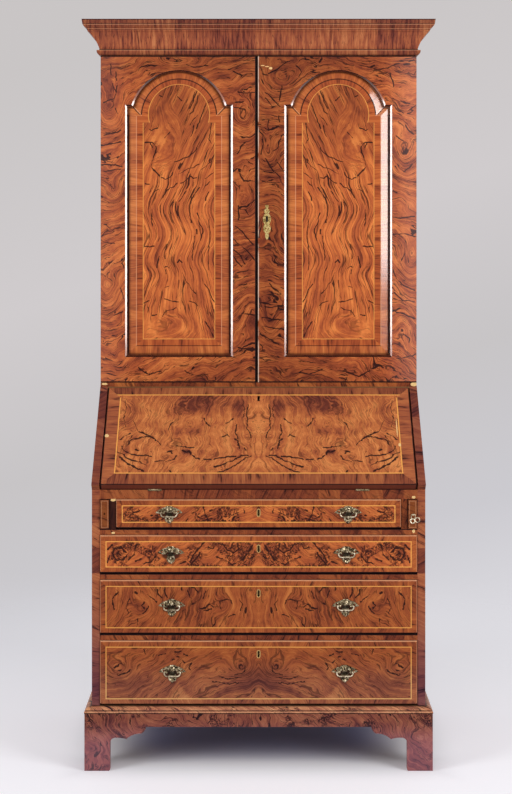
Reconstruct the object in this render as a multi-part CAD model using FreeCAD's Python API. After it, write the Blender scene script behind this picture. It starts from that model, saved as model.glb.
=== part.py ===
import FreeCAD, Part
import math
import os

# Walnut bureau cabinet: a two-door cabinet on a slant-front bureau.
# Millimetres, +Z up, front towards -Y, origin on the floor at the middle of the bounding box.

V = FreeCAD.Vector
os.makedirs("parts", exist_ok=True)

# Overall sizes of the bureau
carcass_width = 940.0
carcass_depth = 530.0
side_thickness = 22.0
back_thickness = 12.0

# Clearances
slide_gap = 0.3          # under drawers and lopers, and over lopers
front_gap = 1.2          # over drawer fronts and at their ends
front_lower_gap = 3.0    # under drawer fronts
seat_gap = 0.1           # inlaid brass in its recess
turn_gap = 0.4           # round hinge knuckles
pin_gap = 0.08           # radial, pins and bails in their bores
overrun = 5.0            # how far cutting solids pass a surface

# Plinth and feet
plinth_projection = 20.0
foot_height = 160.0      # floor to the underside of the plinth moulding
frieze_height = 37.0
foot_pad_width = 72.0
bracket_length = 173.0
bracket_thickness = 19.0
foot_block_width = 46.0
foot_corner_radius = 3.0
plinth_moulding_height = 18.0
bottom_thickness = 16.0

# Drawer openings, from the bottom drawer up, and the rails between them
bottom_drawer_opening = 184.0
third_drawer_opening = 155.0
second_drawer_opening = 110.0
top_drawer_opening = 85.0
rail_thickness = 16.0
rail_depth = 60.0
dust_board_thickness = 11.0
partition_thickness = 17.0

# Lopers
loper_width = 27.6
loper_rear_gap = 92.0    # behind the lopers, to the back boards
loper_side_gap = 0.5
knob_hole_radius = 2.6
knob_hole_depth = 14.0

# Drawer parts
drawer_proud = 5.5       # front face ahead of the carcass
drawer_front_thickness = 22.0
drawer_edge_radius = 4.4
drawer_rear_gap = 36.0   # behind the drawers, to the back boards
drawer_side_thickness = 11.0
drawer_back_thickness = 10.0
drawer_bottom_thickness = 8.0
drawer_bottom_lift = 4.0
drawer_side_gap = 0.8
drawer_top_room = 12.0   # drawer sides below the top of their opening

# Keyholes and drawer locks
keyhole_drop = 37.0      # drawer front's top edge to the keyhole's middle
keyhole_width = 6.4
keyhole_height = 18.5
escutcheon_width = 10.6
escutcheon_height = 23.0
escutcheon_depth = 3.0
lock_width = 60.0
lock_height = 42.0
lock_thickness = 11.0

# Handles
handle_rise = 7.0        # posts above the middle of the opening
handle_half_spacing_top = 252.0
handle_half_spacing_second = 247.0
handle_half_spacing_third = 244.5
handle_half_spacing_bottom = 242.5
plate_half_width = 38.0
plate_top = 17.0         # posts to the plate's peak
plate_bottom = 31.0      # posts to the plate's lower tip
plate_thickness = 1.8
boss_radius = 9.0
boss_height = 5.0
post_half_spacing = 16.0
post_radius = 2.6
post_head_radius = 3.8
post_reach = 11.0        # plate face to the bail's axis
shank_radius = 2.0
nut_width = 9.0
nut_thickness = 3.0
bail_half_width = 22.5
bail_drop = 12.0
bail_wire_radius = 2.0
bail_corner_radius = 3.0
bail_bend_radius = 8.5
bail_inset = 2.0         # bail ends past the middle of the post heads

# Slant fall
slope_angle = 45.0
fall_thickness = 26.0
fall_side_gap = 3.5
fall_top_gap = 1.0
fall_edge_radius = 2.5
side_slope_setback = 3.0
hinge_gap = 0.5          # hinge line ahead of the rail's face
fall_hinge_spacing = 586.0
fall_hinge_width = 38.0
fall_hinge_leaf = 32.0
hinge_leaf_thickness = 2.0
knuckle_radius = 3.5
hinge_pin_radius = 1.4
knuckle_gap = 0.3
fall_keyhole_drop = 41.0
fall_lock_width = 90.0
fall_lock_height = 50.0
fall_lock_thickness = 9.0

# Inside the bureau
desk_height = 267.0      # writing bed to the top of the bureau
bureau_top_thickness = 17.0
bed_thickness = 14.0
lock_rail_height = 28.0
fitting_margin = 10.0    # fitting behind the closed fall's inner face
fitting_board = 8.0
inner_drawer_opening = 58.0
inner_drawer_count = 3
pigeonhole_count = 6
inner_drawer_front = 10.0
inner_drawer_side = 6.0
inner_drawer_bottom = 5.0
inner_drawer_rear_gap = 33.5
inner_drawer_gap = 0.5
knob_radius = 7.0
knob_reach = 14.0
knob_stem_radius = 3.5

# Cabinet
cabinet_height = 985.0   # bureau top to the underside of the cabinet's top board
door_reveal = 6.0        # top of the slope back to the door fronts
cabinet_bottom_thickness = 12.0
cabinet_top_thickness = 16.0
cabinet_side_thickness = 20.0
shelf_thickness = 16.0
shelf_setback = 8.0
shelf_end_gap = 0.5
shelf_height_shares = (0.27, 0.52, 0.76)

# Doors
door_thickness = 22.0
door_end_gap = 1.3
left_meeting = 9.0       # left door's meeting edge, short of the middle
right_meeting = 2.0      # right door's meeting edge, past the middle
meeting_lip_width = 6.0  # lip on the left door that closes the gap behind
meeting_lip_thickness = 9.0
door_back_gap = 1.5
door_edge_radius = 2.0
stile_width = 73.25
panel_bottom_rail = 75.0
panel_top_rail = 42.0
shoulder_width = 19.0
arch_rise = 103.0
panel_back_inset = 2.0
panel_edge_depth = 7.0   # door face back to the panel's bevelled edge
field_depth = 0.6        # door face back to the raised field
bevel_start = 9.5
bevel_end = 32.5
bead_width = 7.0
bead_height = 2.6
hinge_strap_length = 40.0
hinge_strap_width = 12.0
hinge_strap_thickness = 2.0
door_pin_inset = 5.0
door_pin_radius = 2.2
door_pin_depth = 7.5

# Door escutcheon and lock
door_escutcheon_half_width = 12.0
door_escutcheon_height = 104.0
door_escutcheon_inset = 26.7   # from the meeting edge
door_escutcheon_rise = 475.0   # door bottom to the escutcheon's middle
door_escutcheon_thickness = 1.6
door_lock_width = 34.0
door_lock_height = 80.0
door_lock_thickness = 11.0

# Cornice
cornice_projection = 51.0
cornice_height = 102.0
cornice_wall = 20.0

# Loper pull
pull_height_share = 0.51       # post height as a share of the loper's height
pull_side_share = 0.53         # post place as a share of the loper's width, from its inner edge
pull_post_radius = 2.2
pull_post_reach = 9.0
pull_head_radius = 3.3
pull_eye_wire = 1.3
pull_eye_inset = 1.5           # stirrup ends from the middle of the head
pull_stirrup_half = 5.6
pull_stirrup_corner = 1.8
pull_ring_radius = 6.2
pull_ring_wire = 1.9
pull_ring_shift = 1.7
pull_ring_drop = 18.0
pull_loop_radius = 6.6
pull_loop_wire = 1.3
pull_loop_shift = 11.5
pull_loop_drop = 15.0

# Places that follow from these sizes
half_width = carcass_width / 2
inner_half = half_width - side_thickness
front_reach = max(plinth_projection, drawer_proud + plate_thickness + post_reach + post_head_radius)
front_y = (front_reach - carcass_depth) / 2
back_y = front_y + carcass_depth
back_inner_y = back_y - back_thickness
rail_back_y = front_y + rail_depth
floor_board_z = foot_height + plinth_moulding_height
loper_slot = loper_width + 2 * loper_side_gap
short_half = inner_half - loper_slot - partition_thickness

third_z = floor_board_z + bottom_drawer_opening + rail_thickness
second_z = third_z + third_drawer_opening + rail_thickness
top_z = second_z + second_drawer_opening + rail_thickness
slot_top_z = top_z + top_drawer_opening
bed_z = slot_top_z + fall_thickness
bureau_top_z = bed_z + desk_height
top_under_z = bureau_top_z - bureau_top_thickness

angle = math.radians(slope_angle)
along_y = math.cos(angle)
along_z = math.sin(angle)
hinge_y = front_y - hinge_gap
hinge = V(0, hinge_y, bed_z)
up_slope = V(0, along_y, along_z)
out_slope = V(0, -along_z, along_y)
nose = hinge + out_slope * (fall_thickness - side_slope_setback)
slope_top_y = nose.y + (bureau_top_z - nose.z) * along_y / along_z
fall_half = inner_half - fall_side_gap
fall_top_z = bureau_top_z - fall_top_gap
fall_length = (fall_top_z - bed_z - fall_thickness * along_y) / along_z
fitting_y = hinge_y + (top_under_z - bed_z) * along_y / along_z + fitting_margin

cabinet_floor_z = bureau_top_z + cabinet_bottom_thickness
cabinet_ceiling_z = bureau_top_z + cabinet_height
door_front_y = slope_top_y + door_reveal
door_back_y = door_front_y + door_thickness
case_front_y = door_back_y + door_back_gap
door_low_z = cabinet_floor_z + door_end_gap
door_high_z = cabinet_ceiling_z - door_end_gap
meeting_middle = (left_meeting - right_meeting) / 2
door_centre_x = -(half_width + meeting_middle) / 2
cabinet_half = half_width - cabinet_side_thickness
panel_half_width = (half_width - meeting_middle) / 2 - stile_width
panel_low_z = door_low_z + panel_bottom_rail
arch_top_z = door_high_z - panel_top_rail
shoulder_z = arch_top_z - arch_rise
arch_half_chord = panel_half_width - shoulder_width
arch_radius = (arch_half_chord ** 2 + arch_rise ** 2) / (2 * arch_rise)
arch_centre_z = arch_top_z - arch_radius
pivot_x = -half_width + door_pin_inset
pivot_y = door_front_y + door_thickness / 2

# Each drawer: name, floor of its opening, opening height, opening half width, handle spacing
drawers = (
    ("drawer_1", top_z, top_drawer_opening, short_half, handle_half_spacing_top),
    ("drawer_2", second_z, second_drawer_opening, inner_half, handle_half_spacing_second),
    ("drawer_3", third_z, third_drawer_opening, inner_half, handle_half_spacing_third),
    ("drawer_4", floor_board_z, bottom_drawer_opening, inner_half, handle_half_spacing_bottom),
)
bail_missing = ("drawer_2", "left")


# Basic shapes
def box(x0, x1, y0, y1, z0, z1):
    return Part.makeBox(x1 - x0, y1 - y0, z1 - z0, V(x0, y0, z0))


def mirrored(shape):
    return shape.mirror(V(0, 0, 0), V(1, 0, 0))


def save(name, *solids):
    shape = solids[0] if len(solids) == 1 else Part.makeCompound(list(solids))
    shape.exportStep("parts/" + name + ".step")


def prism_x(points, x0, x1):
    """A prism along X on a polygon of (y, z) points."""
    corners = [V(x0, y, z) for y, z in points]
    return Part.Face(Part.makePolygon(corners + corners[:1])).extrude(V(x1 - x0, 0, 0))


def prism_y(edges, depth):
    """A prism along Y on a closed outline of edges."""
    return Part.Face(Part.Wire(Part.__sortEdges__(edges))).extrude(V(0, depth, 0))


def line(start, end):
    return Part.LineSegment(start, end).toShape()


def arc(start, middle, end):
    return Part.Arc(start, middle, end).toShape()


def cylinder(radius, start, end):
    return Part.makeCylinder(radius, (end - start).Length, start, end - start)


def round_edges(shape, radius, wanted):
    return shape.makeFillet(radius, [edge for edge in shape.Edges if wanted(edge.BoundBox)])


def front_edges_at(y):
    """Picks the edges that lie in the plane at y."""
    return lambda b: abs(b.YMin - y) < slide_gap and abs(b.YMax - y) < slide_gap


def slot_shape(x, z, width, height, y0, y1):
    """An upright slot with round ends, cut along Y."""
    radius = width / 2
    reach = height / 2 - radius
    body = box(x - radius, x + radius, y0, y1, z - reach, z + reach)
    for end in (-reach, reach):
        body = body.fuse(cylinder(radius, V(x, y0, z + end), V(x, y1, z + end)))
    return body.removeSplitter()


def wire_tube(path_edges, radius, start, direction):
    """A round rod along a path of tangent edges."""
    path = Part.Wire(path_edges)
    circle = Part.Wire(Part.makeCircle(radius, start, direction))
    return path.makePipeShell([circle], True, False)


# Feet: outline points as shares of the bracket's length and of the height below the frieze
bracket_leg_top_share = 0.63
bracket_cove_middle_shares = (0.444, 0.722)
bracket_cove_end_shares = (0.51, 0.755)
bracket_sag_middle_shares = (0.60, 0.748)
bracket_cusp_shares = (0.68, 0.722)
bracket_hook_shares = (0.725, 0.775)
bracket_swell_middle_shares = (0.80, 0.825)
bracket_swell_end_shares = (0.925, 0.850)
bracket_tip_middle_shares = (0.975, 0.91)


def bracket_outline():
    """Outline of one bracket in its own plane: run along x from the corner, height along z."""
    top = foot_height - frieze_height

    def at(shares):
        return V(bracket_length * shares[0], 0, top * shares[1])

    leg_top = V(foot_pad_width, 0, top * bracket_leg_top_share)
    corner = V(bracket_length, 0, top)
    toe_start = V(foot_pad_width - foot_corner_radius, 0, 0)
    toe_end = V(foot_pad_width, 0, foot_corner_radius)
    return [
        line(V(0, 0, 0), toe_start),
        line(toe_start, toe_end),
        line(toe_end, leg_top),
        arc(leg_top, at(bracket_cove_middle_shares), at(bracket_cove_end_shares)),
        arc(at(bracket_cove_end_shares), at(bracket_sag_middle_shares), at(bracket_cusp_shares)),
        line(at(bracket_cusp_shares), at(bracket_hook_shares)),
        arc(at(bracket_hook_shares), at(bracket_swell_middle_shares), at(bracket_swell_end_shares)),
        arc(at(bracket_swell_end_shares), at(bracket_tip_middle_shares), corner),
        line(corner, V(0, 0, top)),
        line(V(0, 0, top), V(0, 0, 0)),
    ]


def bracket():
    """A bracket whose outer face lies at y = 0 and whose thickness goes towards +y."""
    return prism_y(bracket_outline(), bracket_thickness)


outer_half = half_width + bracket_thickness
outer_front_y = front_y - bracket_thickness
frieze_low_z = foot_height - frieze_height


def bracket_feet():
    front = bracket()
    front.translate(V(-outer_half, outer_front_y, 0))
    # The side bracket is the same board turned to run back from behind the front bracket.
    side = bracket()
    side = side.common(box(bracket_thickness, bracket_length, 0, bracket_thickness, 0, foot_height))
    side.rotate(V(0, 0, 0), V(0, 0, 1), 90)
    side = side.mirror(V(0, 0, 0), V(1, 0, 0))
    side.translate(V(-outer_half, outer_front_y, 0))
    rear_side = bracket()
    rear_side.rotate(V(0, 0, 0), V(0, 0, 1), -90)
    rear_side.translate(V(-outer_half, back_y, 0))
    rear = box(-half_width, -half_width + bracket_length - bracket_thickness,
               back_y - bracket_thickness, back_y, 0, frieze_low_z)
    front_block = box(-half_width, -half_width + foot_block_width,
                      front_y, front_y + foot_block_width, 0, foot_height)
    rear_block = box(-half_width, -half_width + foot_block_width,
                     back_y - bracket_thickness - foot_block_width, back_y - bracket_thickness,
                     0, foot_height)
    left = [front, side, rear_side, rear, front_block, rear_block]
    return left + [mirrored(piece) for piece in left]


def plinth_frieze():
    front = box(-outer_half, outer_half, outer_front_y, front_y, frieze_low_z, foot_height)
    left = box(-outer_half, -half_width, front_y, back_y, frieze_low_z, foot_height)
    rear_end = half_width - foot_block_width
    rear = box(-rear_end, rear_end, back_y - bracket_thickness, back_y, frieze_low_z, foot_height)
    return [front, left, mirrored(left), rear]


# Moulding profiles: (projection, height) shares, with arcs as (middle, end) pairs
plinth_fillet_shares = (1.0, 0.28)
plinth_step_shares = (0.90, 0.34)
plinth_ovolo_middle_shares = (0.68, 0.74)
plinth_ovolo_end_shares = (0.26, 0.94)
plinth_neck_shares = (0.18, 1.0)
cornice_bead_start_shares = (0.02, 0.0)
cornice_bead_middle_shares = (0.155, 0.042)
cornice_bead_end_shares = (0.21, 0.108)
cornice_bead_fillet_shares = (0.21, 0.150)
cornice_bead_top_shares = (0.08, 0.157)
cornice_cove_start_shares = (0.06, 0.186)
cornice_cove_middle_shares = (0.25, 0.410)
cornice_cove_end_shares = (0.62, 0.650)
cornice_fillet_start_shares = (0.69, 0.665)
cornice_fillet_end_shares = (0.71, 0.735)
cornice_ovolo_middle_shares = (0.86, 0.785)
cornice_ovolo_end_shares = (0.96, 0.865)


def profile_point(shares, projection, height):
    """A profile point in the YZ plane: projection towards -y, height along z."""
    return V(0, -projection * shares[0], height * shares[1])


def plinth_profile():
    def at(shares):
        return profile_point(shares, plinth_projection, plinth_moulding_height)

    foot_point = V(0, -plinth_projection, 0)
    top_point = V(0, 0, plinth_moulding_height)
    return [
        line(V(0, 0, 0), foot_point),
        line(foot_point, at(plinth_fillet_shares)),
        line(at(plinth_fillet_shares), at(plinth_step_shares)),
        arc(at(plinth_step_shares), at(plinth_ovolo_middle_shares), at(plinth_ovolo_end_shares)),
        line(at(plinth_ovolo_end_shares), at(plinth_neck_shares)),
        line(at(plinth_neck_shares), top_point),
        line(top_point, V(0, 0, 0)),
    ]


def cornice_profile():
    def at(shares):
        return profile_point(shares, cornice_projection, cornice_height)

    top_outer = V(0, -cornice_projection, cornice_height)
    top_inner = V(0, cornice_wall, cornice_height)
    rebate_inner = V(0, cornice_wall, cabinet_top_thickness)
    rebate_outer = V(0, 0, cabinet_top_thickness)
    return [
        line(V(0, 0, 0), at(cornice_bead_start_shares)),
        arc(at(cornice_bead_start_shares), at(cornice_bead_middle_shares), at(cornice_bead_end_shares)),
        line(at(cornice_bead_end_shares), at(cornice_bead_fillet_shares)),
        line(at(cornice_bead_fillet_shares), at(cornice_bead_top_shares)),
        line(at(cornice_bead_top_shares), at(cornice_cove_start_shares)),
        arc(at(cornice_cove_start_shares), at(cornice_cove_middle_shares), at(cornice_cove_end_shares)),
        line(at(cornice_cove_end_shares), at(cornice_fillet_start_shares)),
        line(at(cornice_fillet_start_shares), at(cornice_fillet_end_shares)),
        arc(at(cornice_fillet_end_shares), at(cornice_ovolo_middle_shares), at(cornice_ovolo_end_shares)),
        line(at(cornice_ovolo_end_shares), top_outer),
        line(top_outer, top_inner),
        line(top_inner, rebate_inner),
        line(rebate_inner, rebate_outer),
        line(rebate_outer, V(0, 0, 0)),
    ]


def mitred_moulding(profile, projection, wall, face_y, base_z):
    """Front and two side lengths of a moulding, mitred at the front corners."""
    face = Part.Face(Part.Wire(Part.__sortEdges__(profile)))
    face.translate(V(0, face_y, base_z))
    reach = half_width + projection
    front = face.copy()
    front.translate(V(-reach, 0, 0))
    front = front.extrude(V(2 * reach, 0, 0))
    side = face.copy()
    side.rotate(V(0, face_y, base_z), V(0, 0, 1), -90)
    side.translate(V(-half_width, -projection, 0))
    side = side.extrude(V(0, back_y - face_y + projection, 0))
    # Everything on the front side of both mitre planes, seen from above.
    outer = projection + overrun
    inner = wall + overrun
    plan = [
        V(-half_width - outer, face_y - outer, 0),
        V(half_width + outer, face_y - outer, 0),
        V(half_width - inner, face_y + inner, 0),
        V(-half_width + inner, face_y + inner, 0),
    ]
    height = face.BoundBox.ZLength + 2 * overrun
    wedge = Part.Face(Part.makePolygon(plan + plan[:1])).extrude(V(0, 0, height))
    wedge.translate(V(0, 0, base_z - overrun))
    left = side.cut(wedge)
    return [front.common(wedge), left, mirrored(left)]


# Bureau carcass
def base_sides():
    """Side boards: upright front edge, a small undercut nose, then the slope."""
    points = [
        (front_y, foot_height),
        (front_y, bed_z),
        (nose.y, nose.z),
        (slope_top_y, bureau_top_z),
        (back_y, bureau_top_z),
        (back_y, foot_height),
    ]
    left = prism_x(points, -half_width, -inner_half)
    return [left, mirrored(left)]


def drawer_rails():
    rails = [box(-inner_half, inner_half, front_y, rail_back_y, z - rail_thickness, z)
             for z in (third_z, second_z, top_z)]
    top_rail = box(-inner_half, inner_half, front_y, rail_back_y, slot_top_z, bed_z)
    leaf_end_y = hinge_y + fall_hinge_leaf + seat_gap
    for x in (-fall_hinge_spacing / 2, fall_hinge_spacing / 2):
        reach = fall_hinge_width / 2 + seat_gap
        recess = box(x - reach, x + reach, front_y - overrun, leaf_end_y,
                     bed_z - hinge_leaf_thickness, bed_z + overrun)
        top_rail = top_rail.cut(recess)
        top_rail = top_rail.cut(knuckle_room(x))
    return rails + [top_rail]


def knuckle_room(x):
    """The round space that a fall hinge's knuckles turn in."""
    reach = fall_hinge_width / 2 + knuckle_gap
    return cylinder(knuckle_radius + turn_gap, V(x - reach, hinge_y, bed_z), V(x + reach, hinge_y, bed_z))


def dust_boards():
    return [box(-inner_half, inner_half, rail_back_y, back_inner_y, z - dust_board_thickness, z)
            for z in (third_z, second_z, top_z)]


def loper_partitions():
    left = box(-short_half - partition_thickness, -short_half, front_y, back_inner_y, top_z, slot_top_z)
    return [left, mirrored(left)]


def bureau_top():
    """Top board between the sides, its front edge square to the fall."""
    corner = hinge + up_slope * (fall_length + fall_top_gap) + out_slope * fall_thickness
    top_y = corner.y + (corner.z - bureau_top_z) * along_z / along_y
    low_y = top_y + bureau_top_thickness * along_z / along_y
    points = [(top_y, bureau_top_z), (back_inner_y, bureau_top_z),
              (back_inner_y, top_under_z), (low_y, top_under_z)]
    return prism_x(points, -inner_half, inner_half)


def lock_rail():
    """Rail under the top board, bevelled to the closed fall's inner face."""
    low_z = top_under_z - lock_rail_height
    clear_y = hinge_y + slide_gap / along_z

    def face_y(z):
        return clear_y + (z - bed_z) * along_y / along_z

    points = [(face_y(low_z), low_z), (face_y(top_under_z), top_under_z),
              (fitting_y, top_under_z), (fitting_y, low_z)]
    return prism_x(points, -inner_half, inner_half)


inner_shelf_z = bed_z + inner_drawer_opening
pigeon_low_z = inner_shelf_z + fitting_board


def bay_edges(count):
    """Left and right limits of equal bays between boards across the bureau."""
    clear = (2 * inner_half - (count - 1) * fitting_board) / count
    lefts = [-inner_half + i * (clear + fitting_board) for i in range(count)]
    return [(left, left + clear) for left in lefts]


def pigeonhole_boards():
    boards = [box(-inner_half, inner_half, fitting_y, back_inner_y, inner_shelf_z, pigeon_low_z)]
    for count, low, high in ((inner_drawer_count, bed_z, inner_shelf_z),
                             (pigeonhole_count, pigeon_low_z, top_under_z)):
        for left, right in bay_edges(count)[:-1]:
            boards.append(box(right, right + fitting_board, fitting_y, back_inner_y, low, high))
    return boards


def inner_drawer(left, right):
    """A small drawer with a turned knob, in the row under the pigeonholes."""
    x0 = left + inner_drawer_gap
    x1 = right - inner_drawer_gap
    z0 = bed_z + slide_gap
    z1 = inner_shelf_z - inner_drawer_gap
    y0 = fitting_y
    y1 = y0 + inner_drawer_front
    y2 = back_inner_y - inner_drawer_rear_gap
    front = box(x0, x1, y0, y1, z0, z1)
    side = box(x0, x0 + inner_drawer_side, y1, y2, z0, z1)
    other = box(x1 - inner_drawer_side, x1, y1, y2, z0, z1)
    in0 = x0 + inner_drawer_side
    in1 = x1 - inner_drawer_side
    floor = box(in0, in1, y1, y2 - inner_drawer_side, z0, z0 + inner_drawer_bottom)
    rear = box(in0, in1, y2 - inner_drawer_side, y2, z0, z1)
    x = (x0 + x1) / 2
    z = (z0 + z1) / 2
    stem = cylinder(knob_stem_radius, V(x, y0, z), V(x, y0 - knob_reach + knob_radius, z))
    ball = Part.makeSphere(knob_radius, V(x, y0 - knob_reach + knob_radius, z))
    return [front, side, other, floor, rear, stem.fuse(ball)]


# Fall
def fall_board():
    def at(length, depth):
        point = hinge + up_slope * length + out_slope * depth
        return (point.y, point.z)

    board = prism_x([at(0, 0), at(fall_length, 0), at(fall_length, fall_thickness),
                     at(0, fall_thickness)], -fall_half, fall_half)
    outer_mid = hinge + out_slope * fall_thickness

    def on_outer_face(b):
        centre = b.Center - outer_mid
        flat = abs(centre.dot(out_slope)) < slide_gap
        steep = b.XLength < slide_gap or b.YLength < slide_gap
        return flat and steep

    board = round_edges(board, fall_edge_radius, on_outer_face)
    for x in (-fall_hinge_spacing / 2, fall_hinge_spacing / 2):
        reach = fall_hinge_width / 2 + seat_gap
        recess = box(x - reach, x + reach, hinge_y - fall_hinge_leaf - seat_gap, hinge_y + overrun,
                     bed_z - hinge_leaf_thickness, bed_z + overrun)
        board = board.cut(folded(recess))
        board = board.cut(knuckle_room(x))
    board = board.cut(fall_lock_body(seat_gap))
    return board.cut(fall_keyhole())


def folded(shape):
    """Turns a shape made for the open fall to the closed fall's place."""
    shape.rotate(hinge, V(1, 0, 0), slope_angle - 180)
    return shape


def fall_keyhole():
    """Keyhole slot, made on the open fall and folded up with it."""
    y = hinge_y - fall_length + fall_keyhole_drop
    shape = slot_shape(0, 0, keyhole_width, keyhole_height, 0, fall_thickness)
    shape.rotate(V(0, 0, 0), V(1, 0, 0), -90)
    shape.translate(V(0, y, bed_z))
    return folded(shape)


def fall_lock_body(room):
    """Lock let into the fall's inner face at its top edge."""
    y0 = hinge_y - fall_length
    reach = fall_lock_width / 2 + room
    return folded(box(-reach, reach, y0 - room, y0 + fall_lock_height + room,
                      bed_z - fall_lock_thickness - room, bed_z + room))


def knuckle_limits(x):
    third = (fall_hinge_width - 2 * knuckle_gap) / 3
    low = x - fall_hinge_width / 2
    return low, low + third, x + fall_hinge_width / 2 - third, x + fall_hinge_width / 2


def fall_hinge_fixed(x):
    """Leaf on the bed, with the two outer knuckles and the pin."""
    a, b, c, d = knuckle_limits(x)
    near = hinge_y + knuckle_radius + turn_gap
    low = bed_z - hinge_leaf_thickness
    leaf = box(a, d, near, hinge_y + fall_hinge_leaf, low, bed_z)
    for start, end in ((a, b), (c, d)):
        leaf = leaf.fuse(box(start, end, hinge_y, near, low, bed_z))
        leaf = leaf.fuse(cylinder(knuckle_radius, V(start, hinge_y, bed_z), V(end, hinge_y, bed_z)))
    return leaf.fuse(cylinder(hinge_pin_radius, V(a, hinge_y, bed_z), V(d, hinge_y, bed_z)))


def fall_hinge_moving(x):
    """Leaf on the fall, with the bored middle knuckle; made open, then folded up."""
    a, b, c, d = knuckle_limits(x)
    near = hinge_y - knuckle_radius - turn_gap
    low = bed_z - hinge_leaf_thickness
    start = b + knuckle_gap
    end = c - knuckle_gap
    leaf = box(a, d, hinge_y - fall_hinge_leaf, near, low, bed_z)
    leaf = leaf.fuse(box(start, end, near, hinge_y, low, bed_z))
    leaf = leaf.fuse(cylinder(knuckle_radius, V(start, hinge_y, bed_z), V(end, hinge_y, bed_z)))
    bore = cylinder(hinge_pin_radius + pin_gap, V(a, hinge_y, bed_z), V(d, hinge_y, bed_z))
    return folded(leaf.cut(bore))


# Lopers and the loop pull
loper_low_z = top_z + slide_gap
loper_high_z = slot_top_z - slide_gap
loper_outer_x = inner_half - loper_side_gap
loper_inner_x = loper_outer_x - loper_width
loper_face_y = front_y - drawer_proud
pull_x = loper_inner_x + loper_width * pull_side_share
pull_z = loper_low_z + (loper_high_z - loper_low_z) * pull_height_share
pull_axis_y = loper_face_y - pull_post_reach


def loper():
    """Right-hand loper with a rounded front edge."""
    bar = box(loper_inner_x, loper_outer_x, loper_face_y, back_inner_y - loper_rear_gap,
              loper_low_z, loper_high_z)
    return round_edges(bar, drawer_edge_radius, front_edges_at(loper_face_y))


def knob_hole():
    """The hole of a lost knob in the left loper's face."""
    face = V(-pull_x, loper_face_y, pull_z)
    start = face - V(0, overrun, 0)
    return cylinder(knob_hole_radius, start, face + V(0, knob_hole_depth, 0))


def ring(centre, radius, wire):
    return Part.makeTorus(radius, wire, centre, V(0, 1, 0))


def loper_post():
    """A post whose bored head carries the pull."""
    axis = V(pull_x, pull_axis_y, pull_z)
    stem = cylinder(pull_post_radius, V(pull_x, loper_face_y, pull_z), axis)
    head = Part.makeSphere(pull_head_radius, axis)
    side = V(pull_head_radius + overrun, 0, 0)
    return stem.fuse(head).cut(cylinder(pull_eye_wire + pin_gap, axis - side, axis + side))


# Drawers
def drawer_front_limits(floor_z, height, half):
    return half - front_gap, floor_z + front_lower_gap, floor_z + height - front_gap


def keyhole_z(floor_z, height, half):
    return drawer_front_limits(floor_z, height, half)[2] - keyhole_drop


drawer_face_y = front_y - drawer_proud
drawer_inner_y = drawer_face_y + drawer_front_thickness


def drawer_front(floor_z, height, half, spacing):
    reach, z0, z1 = drawer_front_limits(floor_z, height, half)
    front = box(-reach, reach, drawer_face_y, drawer_inner_y, z0, z1)
    front = round_edges(front, drawer_edge_radius, front_edges_at(drawer_face_y))
    z = keyhole_z(floor_z, height, half)
    front = front.cut(slot_shape(0, z, escutcheon_width + 2 * seat_gap, escutcheon_height + 2 * seat_gap,
                                 drawer_face_y - overrun, drawer_face_y + escutcheon_depth))
    front = front.cut(slot_shape(0, z, keyhole_width, keyhole_height,
                                 drawer_face_y, drawer_inner_y + overrun))
    for handle_x in (-spacing, spacing):
        for post_x in (-post_half_spacing, post_half_spacing):
            x = handle_x + post_x
            z = handle_z(floor_z, height)
            front = front.cut(cylinder(shank_radius + seat_gap, V(x, drawer_face_y - overrun, z),
                                       V(x, drawer_inner_y + overrun, z)))
    return front


def drawer_box(floor_z, height, half):
    """Sides, back and bottom behind the drawer front."""
    reach = half - drawer_side_gap
    inside = reach - drawer_side_thickness
    low = floor_z + slide_gap
    high = floor_z + height - drawer_top_room
    end_y = back_inner_y - drawer_rear_gap
    rear_y = end_y - drawer_back_thickness
    side = box(-reach, -inside, drawer_inner_y, end_y, low, high)
    rear = box(-inside, inside, rear_y, end_y, low, high)
    bottom_z = low + drawer_bottom_lift
    bottom = box(-inside, inside, drawer_inner_y, rear_y, bottom_z, bottom_z + drawer_bottom_thickness)
    return [side, mirrored(side), rear, bottom]


def handle_z(floor_z, height):
    return floor_z + height / 2 + handle_rise


# Backplate: right-hand outline as shares of the half width and of the top or bottom reach
plate_crest_middle_shares = (0.20, 0.90)
plate_crest_end_shares = (0.36, 0.72)
plate_wing_middle_shares = (0.70, 0.44)
plate_tip_shares = (1.0, -0.08)
plate_under_middle_shares = (0.75, -0.145)
plate_under_end_shares = (0.43, -0.195)
plate_waist_middle_shares = (0.31, -0.235)
plate_waist_end_shares = (0.24, -0.34)
plate_pendant_middle_shares = (0.27, -0.46)
plate_pendant_end_shares = (0.31, -0.58)
plate_foot_middle_shares = (0.24, -0.85)
plate_hole_shares = ((0.25, -0.10, 0.08), (0.68, 0.07, 0.065), (0.13, -0.58, 0.06))
# Raised beads on the plate's crest and wings, and its lower leaf: place, then radius, as shares
plate_bead_shares = ((0.15, 0.84, 0.075), (0.31, 0.62, 0.068), (0.56, 0.30, 0.075), (0.86, 0.03, 0.065))
plate_leaf_shares = (-0.86, 0.17)


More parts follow.
